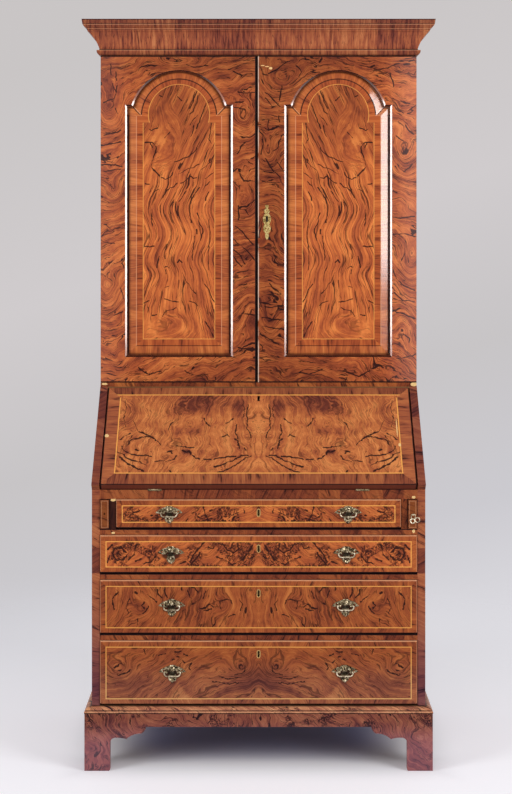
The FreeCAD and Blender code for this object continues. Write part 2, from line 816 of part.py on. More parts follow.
def backplate_outline():
    def at(shares):
        reach = plate_top if shares[1] > 0 else plate_bottom
        return V(plate_half_width * shares[0], 0, reach * shares[1])

    peak = V(0, 0, plate_top)
    foot = V(0, 0, -plate_bottom)
    right = [
        arc(peak, at(plate_crest_middle_shares), at(plate_crest_end_shares)),
        arc(at(plate_crest_end_shares), at(plate_wing_middle_shares), at(plate_tip_shares)),
        arc(at(plate_tip_shares), at(plate_under_middle_shares), at(plate_under_end_shares)),
        arc(at(plate_under_end_shares), at(plate_waist_middle_shares), at(plate_waist_end_shares)),
        arc(at(plate_waist_end_shares), at(plate_pendant_middle_shares), at(plate_pendant_end_shares)),
        arc(at(plate_pendant_end_shares), at(plate_foot_middle_shares), foot),
    ]
    return right + [mirrored(edge) for edge in right]


def backplate():
    """One casting: pierced plate, domed boss, two posts with bored heads, shanks and nuts."""
    plate = prism_y(backplate_outline(), -plate_thickness)
    for x_share, z_share, radius_share in plate_hole_shares:
        reach = plate_top if z_share > 0 else plate_bottom
        for x in (-plate_half_width * x_share, plate_half_width * x_share):
            start = V(x, -plate_thickness - overrun, reach * z_share)
            end = V(x, overrun, reach * z_share)
            plate = plate.cut(cylinder(plate_half_width * radius_share, start, end))
    dome_radius = (boss_radius ** 2 + boss_height ** 2) / (2 * boss_height)
    dome_z = plate_top / 3
    dome = Part.makeSphere(dome_radius, V(0, -plate_thickness - boss_height + dome_radius, dome_z))
    keep = box(-boss_radius, boss_radius, -plate_thickness - boss_height, -plate_thickness,
               dome_z - boss_radius, dome_z + boss_radius)
    plate = plate.fuse(dome.common(keep))
    leaf_share, leaf_radius_share = plate_leaf_shares
    beads = [V(0, -plate_thickness, plate_bottom * leaf_share)]
    radii = [plate_half_width * leaf_radius_share]
    for x_share, z_share, radius_share in plate_bead_shares:
        for x in (-plate_half_width * x_share, plate_half_width * x_share):
            beads.append(V(x, -plate_thickness, plate_top * z_share))
            radii.append(plate_half_width * radius_share)
    for middle, radius in zip(beads, radii):
        # Each bead is the cap of a larger ball, so that it swells gently from the plate.
        ball = Part.makeSphere(radius, middle + V(0, radius / 4, 0))
        front_half = box(middle.x - radius, middle.x + radius, middle.y - radius, middle.y,
                         middle.z - radius, middle.z + radius)
        plate = plate.fuse(ball.common(front_half))
    axis_y = -plate_thickness - post_reach
    for x in (-post_half_spacing, post_half_spacing):
        post = cylinder(post_radius, V(x, 0, 0), V(x, axis_y, 0))
        head = Part.makeSphere(post_head_radius, V(x, axis_y, 0))
        side = V(post_head_radius + overrun, 0, 0)
        bore_middle = V(x, axis_y, 0)
        bore = cylinder(bail_wire_radius + pin_gap, bore_middle - side, bore_middle + side)
        shank_end = drawer_front_thickness + nut_thickness
        shank = cylinder(shank_radius, V(x, 0, 0), V(x, shank_end, 0))
        nut = box(x - nut_width / 2, x + nut_width / 2, drawer_front_thickness, shank_end,
                  -nut_width / 2, nut_width / 2)
        plate = plate.fuse([post, head, shank, nut]).cut(bore)
    return plate.removeSplitter()


def hanging_wire(end_x, w, drop, radius, c, b):
    """A hanging wire loop about the origin, its ends turned in along X to +-end_x."""
    tilt = math.cos(math.radians(45))

    def corner(side):
        """The turn from the end into the arm, and the bend from the arm into the grip."""
        top = [V(side * (w - c), 0, 0), V(side * (w - c + c * tilt), 0, -c + c * tilt), V(side * w, 0, -c)]
        low_z = -drop + b
        low = [V(side * w, 0, low_z), V(side * (w - b + b * tilt), 0, low_z - b * tilt),
               V(side * (w - b), 0, -drop)]
        return top, low

    top_l, low_l = corner(-1)
    top_r, low_r = corner(1)
    edges = [
        line(V(-end_x, 0, 0), top_l[0]),
        arc(*top_l),
        line(top_l[2], low_l[0]),
        arc(*low_l),
        line(low_l[2], low_r[2]),
        arc(*reversed(low_r)),
        line(low_r[0], top_r[2]),
        arc(*reversed(top_r)),
        line(top_r[0], V(end_x, 0, 0)),
    ]
    return wire_tube(edges, radius, V(-end_x, 0, 0), V(1, 0, 0))


def bail():
    return hanging_wire(post_half_spacing - bail_inset, bail_half_width, bail_drop,
                        bail_wire_radius, bail_corner_radius, bail_bend_radius)


def escutcheon_ring(z):
    """Brass edging of a keyhole, flush in the drawer front."""
    outer = slot_shape(0, z, escutcheon_width, escutcheon_height,
                       drawer_face_y, drawer_face_y + escutcheon_depth)
    inner = slot_shape(0, z, keyhole_width, keyhole_height,
                       drawer_face_y - overrun, drawer_face_y + escutcheon_depth + overrun)
    return outer.cut(inner)


def drawer_brasses(floor_z, height, half, spacing):
    z = handle_z(floor_z, height)
    pieces = []
    for x in (-spacing, spacing):
        plate = backplate()
        plate.translate(V(x, drawer_face_y, z))
        pieces.append(plate)
    key_z = keyhole_z(floor_z, height, half)
    pieces.append(escutcheon_ring(key_z))
    pieces.append(box(-lock_width / 2, lock_width / 2, drawer_inner_y, drawer_inner_y + lock_thickness,
                      key_z - lock_height / 2, key_z + lock_height / 2))
    return pieces


# Cabinet case
def hinge_plate(z0, room):
    """Strap-shaped plate in a board's face, at the left door's pivot."""
    y_reach = hinge_strap_width / 2 + room
    return box(-half_width, -half_width + hinge_strap_length + room, pivot_y - y_reach, pivot_y + y_reach,
               z0, z0 + hinge_strap_thickness)


bottom_plate_z = cabinet_floor_z - hinge_strap_thickness
top_plate_z = cabinet_ceiling_z


def pin_room(radius, z0, z1):
    return cylinder(radius, V(pivot_x, pivot_y, z0), V(pivot_x, pivot_y, z1))


def with_pin_recesses(board, plate_z, z0, z1):
    """A board with a plate recess and a pin hole at both front corners."""
    for tool in (hinge_plate(plate_z, seat_gap), pin_room(door_pin_radius + turn_gap, z0, z1)):
        board = board.cut(tool).cut(mirrored(tool))
    return board


def cabinet_bottom():
    board = box(-half_width, half_width, door_front_y, back_y, bureau_top_z, cabinet_floor_z)
    return with_pin_recesses(board, bottom_plate_z, door_low_z - door_pin_depth - turn_gap, cabinet_floor_z)


def cabinet_top():
    board = box(-half_width, half_width, door_front_y, back_y,
                cabinet_ceiling_z, cabinet_ceiling_z + cabinet_top_thickness)
    return with_pin_recesses(board, top_plate_z, cabinet_ceiling_z, door_high_z + door_pin_depth + turn_gap)


def door_pin_plates():
    plates = []
    for z in (bottom_plate_z, top_plate_z):
        bore = pin_room(door_pin_radius + pin_gap, z - overrun, z + overrun)
        plate = hinge_plate(z, 0).cut(bore)
        plates += [plate, mirrored(plate)]
    return plates


def cabinet_sides():
    left = box(-half_width, -cabinet_half, case_front_y, back_y, cabinet_floor_z, cabinet_ceiling_z)
    return [left, mirrored(left)]


def shelves():
    reach = cabinet_half - shelf_end_gap
    clear = cabinet_ceiling_z - cabinet_floor_z
    levels = [cabinet_floor_z + clear * share for share in shelf_height_shares]
    return [box(-reach, reach, case_front_y + shelf_setback, back_inner_y, z - shelf_thickness, z)
            for z in levels]


# Doors, made for the left side
# How the arch narrows as the outline is drawn in: its radius and its lifted middle, per unit of inset
arch_draw_share = 1.092
arch_lift_share = 0.294


def arched_wire(y, inset):
    """The shouldered arch of the panel, drawn in by an inset, in the plane at y."""
    reach = panel_half_width - inset
    low = panel_low_z + inset
    shoulder = shoulder_z - inset
    radius = arch_radius - inset * arch_draw_share
    centre_z = arch_centre_z + inset * arch_lift_share
    chord = math.sqrt(radius ** 2 - (shoulder - centre_z) ** 2)

    def at(x, z):
        return V(door_centre_x + x, y, z)

    return Part.Wire([
        line(at(-reach, low), at(reach, low)),
        line(at(reach, low), at(reach, shoulder)),
        line(at(reach, shoulder), at(chord, shoulder)),
        arc(at(chord, shoulder), at(0, centre_z + radius), at(-chord, shoulder)),
        line(at(-chord, shoulder), at(-reach, shoulder)),
        line(at(-reach, shoulder), at(-reach, low)),
    ])


def between(y0, inset0, y1, inset1):
    """A solid between two arched outlines."""
    return Part.makeLoft([arched_wire(y0, inset0), arched_wire(y1, inset1)], True, True)


def door_frame(x1):
    """Stiles and rails of the left door, out to the meeting edge at x1."""
    x0 = -half_width
    in0 = door_centre_x - panel_half_width
    in1 = door_centre_x + panel_half_width
    outer_stile = box(x0, in0, door_front_y, door_back_y, door_low_z, door_high_z)
    inner_stile = box(in1, x1, door_front_y, door_back_y, door_low_z, door_high_z)
    lower_rail = box(in0, in1, door_front_y, door_back_y, door_low_z, panel_low_z)

    def at(x, z):
        return V(door_centre_x + x, door_front_y, z)

    w = panel_half_width
    c = arch_half_chord
    upper_rail = prism_y([
        line(at(-w, shoulder_z), at(-c, shoulder_z)),
        arc(at(-c, shoulder_z), at(0, arch_top_z), at(c, shoulder_z)),
        line(at(c, shoulder_z), at(w, shoulder_z)),
        line(at(w, shoulder_z), at(w, door_high_z)),
        line(at(w, door_high_z), at(-w, door_high_z)),
        line(at(-w, door_high_z), at(-w, shoulder_z)),
    ], door_thickness)

    def upright_front_edge(x):
        return lambda b: (abs(b.Center.x - x) < slide_gap and b.XLength < slide_gap
                          and abs(b.YMax - door_front_y) < slide_gap)

    outer_stile = round_edges(outer_stile, door_edge_radius, upright_front_edge(x0))
    inner_stile = round_edges(inner_stile, door_edge_radius, upright_front_edge(x1))
    for z in (door_low_z, door_high_z - hinge_strap_thickness):
        outer_stile = outer_stile.cut(hinge_plate(z, seat_gap))
    return [outer_stile, inner_stile, lower_rail, upper_rail]


def meeting_lip():
    """Lip along the back of the left door's meeting stile."""
    x0 = -left_meeting
    return box(x0, x0 + meeting_lip_width, door_back_y - meeting_lip_thickness, door_back_y,
               door_low_z, door_high_z)


def door_panel():
    edge_y = door_front_y + panel_edge_depth
    field_y = door_front_y + field_depth
    slab = between(door_back_y - panel_back_inset, seat_gap, edge_y, seat_gap)
    return slab.fuse(between(edge_y, bevel_start, field_y, bevel_end)).removeSplitter()


# Bead's profile, as shares of its width and height
bead_crest_share = 0.76        # where its outer slope meets the crest
bead_crest_end_share = 0.88
bead_drop_share = 0.45         # height at which its inner side turns upright


def door_bead():
    """Bead round the panel: a slope up from the frame, a narrow crest, a steep inner side."""
    seat_y = door_front_y + panel_edge_depth
    crest_y = door_front_y - bead_height
    drop_y = door_front_y - bead_height * bead_drop_share
    crest = bead_width * bead_crest_share
    crest_end = bead_width * bead_crest_end_share
    outer = between(seat_y, seat_gap, door_front_y, seat_gap)
    outer = outer.fuse(between(door_front_y, seat_gap, crest_y, crest))
    inner = between(seat_y + overrun, bead_width, drop_y, bead_width)
    inner = inner.fuse(between(drop_y, bead_width, crest_y, crest_end))
    cap = between(crest_y, crest_end, crest_y - overrun, crest_end)
    return outer.cut(inner.fuse(cap)).removeSplitter()


def door_pins():
    """Straps let into the door's ends, each with its pin."""
    low = hinge_plate(door_low_z, 0)
    low = low.fuse(pin_room(door_pin_radius, door_low_z - door_pin_depth, door_low_z))
    high = hinge_plate(door_high_z - hinge_strap_thickness, 0)
    high = high.fuse(pin_room(door_pin_radius, door_high_z, door_high_z + door_pin_depth))
    return [low, high]


# Right door's lock and pierced escutcheon
escutcheon_x = door_escutcheon_inset - right_meeting
escutcheon_z = door_low_z + door_escutcheon_rise
door_key_share = 0.10          # keyhole above the escutcheon's middle, of its height
door_key_z = escutcheon_z + door_escutcheon_height * door_key_share

# Escutcheon's right-hand outline: shares of its half width and of half its height
top_bar_shares = (0.42, 1.0)
top_bar_low_shares = (0.42, 0.90)
top_neck_shares = (0.22, 0.78)
top_urn_middle_shares = (0.70, 0.66)
top_urn_end_shares = (0.36, 0.52)
body_middle_shares = (1.0, 0.22)
body_end_shares = (0.52, -0.10)
lozenge_middle_shares = (0.92, -0.36)
lozenge_end_shares = (0.34, -0.62)
drop_middle_shares = (0.44, -0.78)
drop_hole_shares = ((0.36, -0.36, 0.16), (0.0, -0.22, 0.14), (0.0, -0.52, 0.14), (0.0, 0.66, 0.14))


def door_escutcheon():
    half_height = door_escutcheon_height / 2
    face_y = door_front_y

    def at(shares):
        return V(door_escutcheon_half_width * shares[0], 0, half_height * shares[1])

    top = V(0, 0, half_height)
    foot = V(0, 0, -half_height)
    right = [
        line(top, at(top_bar_shares)),
        line(at(top_bar_shares), at(top_bar_low_shares)),
        line(at(top_bar_low_shares), at(top_neck_shares)),
        arc(at(top_neck_shares), at(top_urn_middle_shares), at(top_urn_end_shares)),
        arc(at(top_urn_end_shares), at(body_middle_shares), at(body_end_shares)),
        arc(at(body_end_shares), at(lozenge_middle_shares), at(lozenge_end_shares)),
        arc(at(lozenge_end_shares), at(drop_middle_shares), foot),
    ]
    plate = prism_y(right + [mirrored(edge) for edge in right], -door_escutcheon_thickness)
    for x_share, z_share, radius_share in drop_hole_shares:
        for side in ((-1, 1) if x_share else (1,)):
            x = side * door_escutcheon_half_width * x_share
            z = half_height * z_share
            start = V(x, -door_escutcheon_thickness - overrun, z)
            plate = plate.cut(cylinder(door_escutcheon_half_width * radius_share, start, V(x, overrun, z)))
    plate.translate(V(escutcheon_x, face_y, escutcheon_z))
    return plate.cut(door_keyhole())


def door_keyhole():
    return slot_shape(escutcheon_x, door_key_z, keyhole_width, keyhole_height,
                      door_front_y - overrun, door_back_y)


def door_lock(room):
    """Lock let into the back of the right door's meeting stile."""
    x0 = -right_meeting
    reach = door_lock_height / 2 + room
    return box(x0, x0 + door_lock_width + room, door_back_y - door_lock_thickness - room, door_back_y,
               door_key_z - reach, door_key_z + reach)


# Loper pull: a stirrup through the post's head, with a ring and a thinner loop on it
def loper_pull():
    axis = V(pull_x, pull_axis_y, pull_z)
    ring_centre = axis + V(-pull_ring_shift, 0, -pull_ring_drop)
    loop_centre = axis + V(pull_loop_shift, 0, -pull_loop_drop)
    stirrup = hanging_wire(pull_eye_inset, pull_stirrup_half, pull_ring_drop - pull_ring_radius,
                           pull_eye_wire, pull_stirrup_corner, pull_stirrup_corner)
    stirrup.translate(axis)
    body = stirrup.fuse(ring(ring_centre, pull_ring_radius, pull_ring_wire))
    return body.fuse(ring(loop_centre, pull_loop_radius, pull_loop_wire)).removeSplitter()


# Writing the pieces
save("bracket_feet", *bracket_feet())
save("plinth_frieze", *plinth_frieze())
save("plinth_moulding", *mitred_moulding(plinth_profile(), plinth_projection, 0, front_y, foot_height))
save("base_sides", *base_sides())
save("base_bottom", box(-inner_half, inner_half, front_y, back_inner_y,
                        floor_board_z - bottom_thickness, floor_board_z))
save("base_back", box(-inner_half, inner_half, back_inner_y, back_y, foot_height, bureau_top_z))
save("drawer_rails", *drawer_rails())
save("dust_boards", *dust_boards())
save("loper_partitions", *loper_partitions())
save("writing_bed", box(-inner_half, inner_half, rail_back_y, back_inner_y, bed_z - bed_thickness, bed_z))
save("bureau_top", bureau_top())
save("lock_rail", lock_rail())
save("pigeonhole_boards", *pigeonhole_boards())
fall_hinge_places = (-fall_hinge_spacing / 2, fall_hinge_spacing / 2)
save("bed_hinge_leaves", *[fall_hinge_fixed(x) for x in fall_hinge_places])
save("cabinet_bottom", cabinet_bottom())
save("cabinet_top", cabinet_top())
save("cabinet_sides", *cabinet_sides())
save("cabinet_back", box(-cabinet_half, cabinet_half, back_inner_y, back_y,
                         cabinet_floor_z, cabinet_ceiling_z))
save("shelves", *shelves())
save("cornice", *mitred_moulding(cornice_profile(), cornice_projection, cornice_wall,
                                 door_front_y, cabinet_ceiling_z))
save("door_pin_plates", *door_pin_plates())

left_frame = door_frame(-left_meeting)
left_frame[1] = left_frame[1].fuse(meeting_lip()).removeSplitter()
right_frame = [mirrored(piece) for piece in door_frame(right_meeting)]
right_frame[1] = right_frame[1].cut(door_lock(seat_gap)).cut(door_keyhole())
save("door_left_frame", *left_frame)
save("door_right_frame", *right_frame)
save("door_left_panel", door_panel())
save("door_right_panel", mirrored(door_panel()))
save("door_left_bead", door_bead())
save("door_right_bead", mirrored(door_bead()))
save("door_left_pins", *door_pins())
save("door_right_pins", *[mirrored(piece) for piece in door_pins()])
save("door_right_escutcheon", door_escutcheon())
save("door_right_lock", door_lock(0))

save("fall_board", fall_board())
save("fall_hinge_leaves", *[fall_hinge_moving(x) for x in fall_hinge_places])
save("fall_lock", fall_lock_body(0).cut(fall_keyhole()))

save("loper_left", mirrored(loper()).cut(knob_hole()))
save("loper_right", loper())
save("loper_post", loper_post())
save("loper_pull", loper_pull())

for name, floor_z, height, half, spacing in drawers:
    save(name + "_front", drawer_front(floor_z, height, half, spacing))
    save(name + "_box", *drawer_box(floor_z, height, half))
    save(name + "_brasses", *drawer_brasses(floor_z, height, half, spacing))
    for side_name, side in (("left", -1), ("right", 1)):
        if (name, side_name) == bail_missing:
            continue
        piece = bail()
        piece.translate(V(side * spacing, drawer_face_y - plate_thickness - post_reach,
                          handle_z(floor_z, height)))
        save(name + "_bail_" + side_name, piece)

for place, (left, right) in zip(("left", "middle", "right"), bay_edges(inner_drawer_count)):
    save("inner_drawer_" + place, *inner_drawer(left, right))
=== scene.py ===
import math

import bpy
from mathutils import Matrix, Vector


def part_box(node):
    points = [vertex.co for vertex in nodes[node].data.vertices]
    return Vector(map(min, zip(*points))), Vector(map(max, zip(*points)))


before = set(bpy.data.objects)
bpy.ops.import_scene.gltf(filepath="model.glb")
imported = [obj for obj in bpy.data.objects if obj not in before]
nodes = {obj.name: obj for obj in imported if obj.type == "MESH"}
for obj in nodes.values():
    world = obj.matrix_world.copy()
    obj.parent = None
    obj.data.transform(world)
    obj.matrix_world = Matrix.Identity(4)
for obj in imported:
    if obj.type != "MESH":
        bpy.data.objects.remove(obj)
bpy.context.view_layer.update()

# Places read from the frame, in metres
FRONT_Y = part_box("drawer_rails")[0].y
FACE_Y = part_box("drawer_4_front")[0].y
HALF_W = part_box("base_sides")[1].x


# Node-tree helper: expressions over sockets
def operation(op):
    """A method that feeds its socket and the values given to one Math node."""
    def method(self, *others):
        return self.tree.math(op, self, *others)
    return method


class Val:
    """A socket of one node tree, with arithmetic."""

    def __init__(self, tree, socket):
        self.tree = tree
        self.socket = socket

    __add__ = __radd__ = operation("ADD")
    __mul__ = __rmul__ = operation("MULTIPLY")
    __sub__ = operation("SUBTRACT")
    __truediv__ = operation("DIVIDE")
    __abs__ = operation("ABSOLUTE")
    min = operation("MINIMUM")
    max = operation("MAXIMUM")
    power = operation("POWER")
    floor = operation("FLOOR")
    above = operation("GREATER_THAN")
    below = operation("LESS_THAN")

    def __rsub__(self, other):
        return self.tree.math("SUBTRACT", other, self)

    def clamp(self):
        return self.tree.math("ADD", self, 0.0, clamp=True)

    def step(self, low, high):
        """0 under low, 1 over high, smooth between; runs down if low is above high."""
        return self.tree.map_range(self, low, high)

    def line(self, place, width, soft=0.5):
        """1 at a place, 0 from a width off it; its edges are soft over that share of the width."""
        return (1.0 - abs(self - place) * (1.0 / width)).step(0.0, soft)


class Tree:
    """Builds the nodes of one material, or of a world."""

    def __init__(self, name, home=bpy.data.materials):
        self.mat = home.new(name)
        self.mat.use_nodes = True
        self.nt = self.mat.node_tree
        self.nt.nodes.clear()

    def put(self, socket, value):
        if isinstance(value, Val):
            self.nt.links.new(value.socket, socket)
        elif isinstance(value, tuple) and len(value) == 3 and socket.type == "RGBA":
            socket.default_value = (*value, 1.0)
        else:
            socket.default_value = value

    def new(self, kind, **settings):
        node = self.nt.nodes.new(kind)
        for key, value in settings.items():
            setattr(node, key, value)
        return node

    def math(self, op, *values, clamp=False):
        node = self.new("ShaderNodeMath", operation=op, use_clamp=clamp)
        for socket, value in zip(node.inputs, values):
            self.put(socket, value)
        return Val(self, node.outputs[0])

    def map_range(self, value, low, high):
        node = self.new("ShaderNodeMapRange", interpolation_type="SMOOTHSTEP")
        if not isinstance(low, Val) and not isinstance(high, Val) and low > high:
            return 1.0 - self.map_range(value, high, low)
        for socket, item in zip(node.inputs, (value, low, high)):
            self.put(socket, item)
        return Val(self, node.outputs[0])

    def xyz(self, kind="Object"):
        coord = self.new("ShaderNodeTexCoord")
        split = self.new("ShaderNodeSeparateXYZ")
        self.nt.links.new(coord.outputs[kind], split.inputs[0])
        return [Val(self, s) for s in split.outputs]

    def normal(self):
        return self.xyz("Normal")

    def vec(self, x, y, z=0.0):
        node = self.new("ShaderNodeCombineXYZ")
        for socket, value in zip(node.inputs, (x, y, z)):
            self.put(socket, value)
        return Val(self, node.outputs[0])

    def vector(self, op, first, second):
        node = self.new("ShaderNodeVectorMath", operation=op)
        self.put(node.inputs[0], first)
        self.put(node.inputs["Scale"] if op == "SCALE" else node.inputs[1], second)
        return Val(self, node.outputs["Value" if op in ("DOT_PRODUCT", "DISTANCE") else "Vector"])

    def noise(self, vector, scale=1.0, detail=2.0, rough=0.5, twist=0.0):
        node = self.new("ShaderNodeTexNoise")
        self.put(node.inputs["Vector"], vector)
        node.inputs["Scale"].default_value = scale
        node.inputs["Detail"].default_value = detail
        node.inputs["Roughness"].default_value = rough
        node.inputs["Distortion"].default_value = twist
        return Val(self, node.outputs[0])

    def cells(self, vector, scale):
        """Distance to the nearest of scattered points."""
        node = self.new("ShaderNodeTexVoronoi")
        self.put(node.inputs["Vector"], vector)
        node.inputs["Scale"].default_value = scale
        return Val(self, node.outputs["Distance"])

    def speck(self, vector):
        """A random value for each whole-number place."""
        node = self.new("ShaderNodeTexWhiteNoise")
        self.put(node.inputs["Vector"], vector)
        return Val(self, node.outputs["Value"])

    def mix(self, fac, low, high, blend="MIX"):
        node = self.new("ShaderNodeMix", data_type="RGBA", blend_type=blend)
        self.put(node.inputs["Factor"], fac)
        self.put(node.inputs[6], low)
        self.put(node.inputs[7], high)
        return Val(self, node.outputs[2])

    def blend(self, fac, low, high):
        """A number between two numbers."""
        return low + (high - low) * fac

    def ramp(self, fac, stops):
        node = self.new("ShaderNodeValToRGB")
        self.put(node.inputs[0], fac)
        ramp = node.color_ramp
        while len(ramp.elements) < len(stops):
            ramp.elements.new(0.5)
        for element, (place, colour) in zip(ramp.elements, stops):
            element.position = place
            element.color = (*colour, 1.0)
        return Val(self, node.outputs[0])

    def shader(self, kind, *values):
        node = self.new("ShaderNode" + kind)
        for socket, value in zip(node.inputs, values):
            self.put(socket, value)
        return Val(self, node.outputs[0])

    def seen(self):
        """1 where the camera looks straight, by reflection or through glass, and 0 for light on the object."""
        path = self.new("ShaderNodeLightPath")
        camera_ray, glossy_ray, clear_ray = [Val(self, path.outputs["Is %s Ray" % kind])
                                             for kind in ("Camera", "Glossy", "Transmission")]
        return camera_ray.max(glossy_ray).max(clear_ray)

    def finish(self, colour, rough=0.4, metal=0.0, coat=0.0, coat_rough=0.1, bump=None, bump_size=0.0002,
               coat_index=1.5):
        shader = self.new("ShaderNodeBsdfPrincipled")
        self.put(shader.inputs["Base Color"], colour)
        self.put(shader.inputs["Roughness"], rough)
        self.put(shader.inputs["Metallic"], metal)
        self.put(shader.inputs["Specular IOR Level"], 0.10 if metal == 0.0 else 0.5)
        self.put(shader.inputs["Coat IOR"], coat_index)
        self.put(shader.inputs["Coat Weight"], coat)
        self.put(shader.inputs["Coat Roughness"], coat_rough)
        if bump is not None:
            relief = self.new("ShaderNodeBump")
            relief.inputs["Strength"].default_value = 1.0
            relief.inputs["Distance"].default_value = bump_size
            self.put(relief.inputs["Height"], bump)
            self.nt.links.new(relief.outputs[0], shader.inputs["Normal"])
        return self.end(Val(self, shader.outputs[0]))

    def end(self, shader, kind="ShaderNodeOutputMaterial"):
        self.put(self.new(kind).inputs[0], shader)
        return self.mat


# Wood colours, linear
GOLD = (0.66, 0.212, 0.058)
WARM = (0.49, 0.128, 0.036)
MID = (0.345, 0.080, 0.028)
DARK = (0.140, 0.029, 0.016)
LINE = (0.016, 0.0045, 0.005)
BOX_WOOD = (0.88, 0.40, 0.095)
CHIP = (0.80, 0.54, 0.24)
PALE_EDGE = (0.72, 0.36, 0.20)


def spot(t, u, v, place):
    """1 at the middle of an oval (u, v, half width, half height), fading outwards."""
    cu, cv, wide, high = place[:4]
    du = (u - cu) * (1.0 / wide)
    dv = (v - cv) * (1.0 / high)
    return t.math("EXPONENT", (du * du + dv * dv) * -1.0)


def strokes(t, u, v, seed, paths, width=0.0019, waver=0.013, crinkle=0.0):
    """Dark drawn grain lines: 1 on the line, ragged at its edges. A path is its weight and then the
    u and v of each of its points in turn, in millimetres."""
    place = t.vec(u, v, seed)
    du = t.noise(place, 32.0, 2.0, 0.6) - 0.5
    dv = t.noise(t.vec(v, u, seed + 1.0), 32.0, 2.0, 0.6) - 0.5
    if crinkle:
        du = du + (t.noise(place, 130.0, 1.0) - 0.5) * (crinkle / waver)
        dv = dv + (t.noise(t.vec(v, u, seed + 2.0), 130.0, 1.0) - 0.5) * (crinkle / waver)
    here = t.vec(u + du * waver, v + dv * waver)
    near = None
    for weight, *flat in paths:
        points = [Vector((pu, pv, 0.0)) / 1000.0 for pu, pv in zip(flat[::2], flat[1::2])]
        for start, end in zip(points, points[1:]):
            run = end - start
            gap = t.vector("SUBTRACT", here, tuple(start))
            share = t.vector("DOT_PRODUCT", gap, tuple(run / run.length_squared)).max(0.0).min(1.0)
            far = t.vector("DISTANCE", gap, t.vector("SCALE", tuple(run), share)) * weight ** -0.7
            near = far if near is None else near.min(far)
    room = t.noise(place, 30.0, 2.0, 0.6).step(0.20, 0.58) * (1.35 * width) + 0.0001
    return (1.0 - near / room).step(0.0, 0.6)


def veneer(t, u, v, seed, flow=(1.0, 0.2), wild=0.06, eyes=(), smoke=(), burrs=(), lines=1.0, burr_all=0.0,
           broad=0.8, crinkle=0.007, mottle=1.0):
    """Figured walnut: grain that runs along the contours of a bent field, with swirls round the eyes,
    dark patches at the smoke places and clusters of knots at the burrs. Returns tone and darkness, 0 to 1."""
    place = t.vec(u, v, seed)
    bend = t.noise(place, 5.0, 2.0) - 0.5
    kink = t.noise(place, 19.0, 2.0) - 0.5
    ripple = t.noise(place, 75.0, 2.0, 0.6) - 0.5
    grain = u * flow[0] + v * flow[1] + bend * (2.0 * wild) + kink * (0.45 * wild) + ripple * crinkle
    for eye in eyes:
        grain = grain + spot(t, u, v, eye) * eye[4]
    wide = t.noise(t.vec(grain * 40.0, u * 2.5, v * 2.5 + seed), 1.0, 2.0, 0.5)
    mid = t.noise(t.vec(grain * 125.0, u * 6.0, v * 6.0 + seed), 1.0, 2.0, 0.5)
    fine = t.noise(t.vec(grain * 420.0, u * 14.0, v * 14.0 + seed), 1.0, 2.0, 0.6)
    patch = t.noise(place, 9.0, 2.0, 0.5)
    cloud = t.noise(place, 26.0, 4.0, 0.6)
    break_up = t.noise(place, 24.0, 2.0, 0.6)
    bold = t.noise(t.vec(grain * 70.0, u * 6.0, v * 6.0 + seed + 9.0), 1.0, 1.0, 0.5)
    thin = t.noise(t.vec(grain * 165.0, u * 14.0, v * 14.0 + seed + 4.0), 1.0, 1.0, 0.5)
    run = t.noise(t.vec(grain * 75.0, u * 9.0, v * 9.0 + seed + 2.0), 1.0, 1.0, 0.5)
    bold_room = patch.step(0.40, 0.60) * 0.024 * break_up.step(0.38, 0.54) + 0.0001
    thin_room = run.step(0.45, 0.60) * 0.052 + 0.0001
    dark = (1.0 - abs(bold - 0.5) / bold_room).step(0.0, 0.45)
    dark = dark.max((1.0 - abs(thin - 0.45) / thin_room).step(0.0, 0.5) * 0.80) * lines
    fleck = t.noise(t.vec(grain * 520.0, u * 70.0, v * 70.0), 1.0, 1.0, 0.5).step(0.34, 0.28)
    dark = dark.max(fleck * 0.45)
    tone = (wide - 0.5) * broad + ((mid - 0.5) * 0.75 + (fine - 0.5) * 0.9 + (cloud - 0.5) * 0.9) * mottle + 0.55
    for item in smoke:
        haze = spot(t, u, v, item) * (cloud * 1.2 + 0.4) * item[4]
        tone = tone - haze
        dark = dark.max(haze * mid.step(0.55, 0.40))
    cluster = None
    for item in burrs:
        one = spot(t, u, v, item)
        cluster = one if cluster is None else cluster.max(one)
    if burr_all:
        every = t.noise(t.vec(u, v, seed + 5.0), 13.0, 2.0, 0.5, 0.4).step(0.47, 0.62) * burr_all
        cluster = every if cluster is None else cluster.max(every)
    if cluster is not None:
        ragged = (cluster + (break_up - 0.5) * 1.6).step(0.34, 0.60)
        squirm = t.noise(place, 52.0, 2.0, 0.6, 1.8)
        worms = (1.0 - abs(squirm - 0.5) * 15.0).step(0.0, 0.55) * ragged
        dots = t.cells(place, 105.0).step(0.30, 0.20) * ragged
        tone = tone - ragged * 0.10 + (squirm - 0.5) * ragged * 0.9
        dark = dark.max(worms * 0.92).max(dots * 0.92)
    return tone.clamp(), dark.clamp()


def wood_colour(t, tone, dark, tint):
    """The wood's colour for a tone and a darkness, times a tint."""
    colour = t.ramp(tone, [(0.10, DARK), (0.40, MID), (0.62, WARM), (0.92, GOLD)])
    colour = t.mix(dark * 0.96, colour, LINE)
    return tinted(t, colour, tint)


def tinted(t, colour, tint):
    """Colour times a tint: a number, a colour or a socket."""
    if isinstance(tint, Val):
        return t.mix(1.0, colour, t.vec(tint, tint, tint), "MULTIPLY")
    level = tint if isinstance(tint, tuple) else (tint, tint, tint)
    return t.mix(1.0, colour, level, "MULTIPLY")


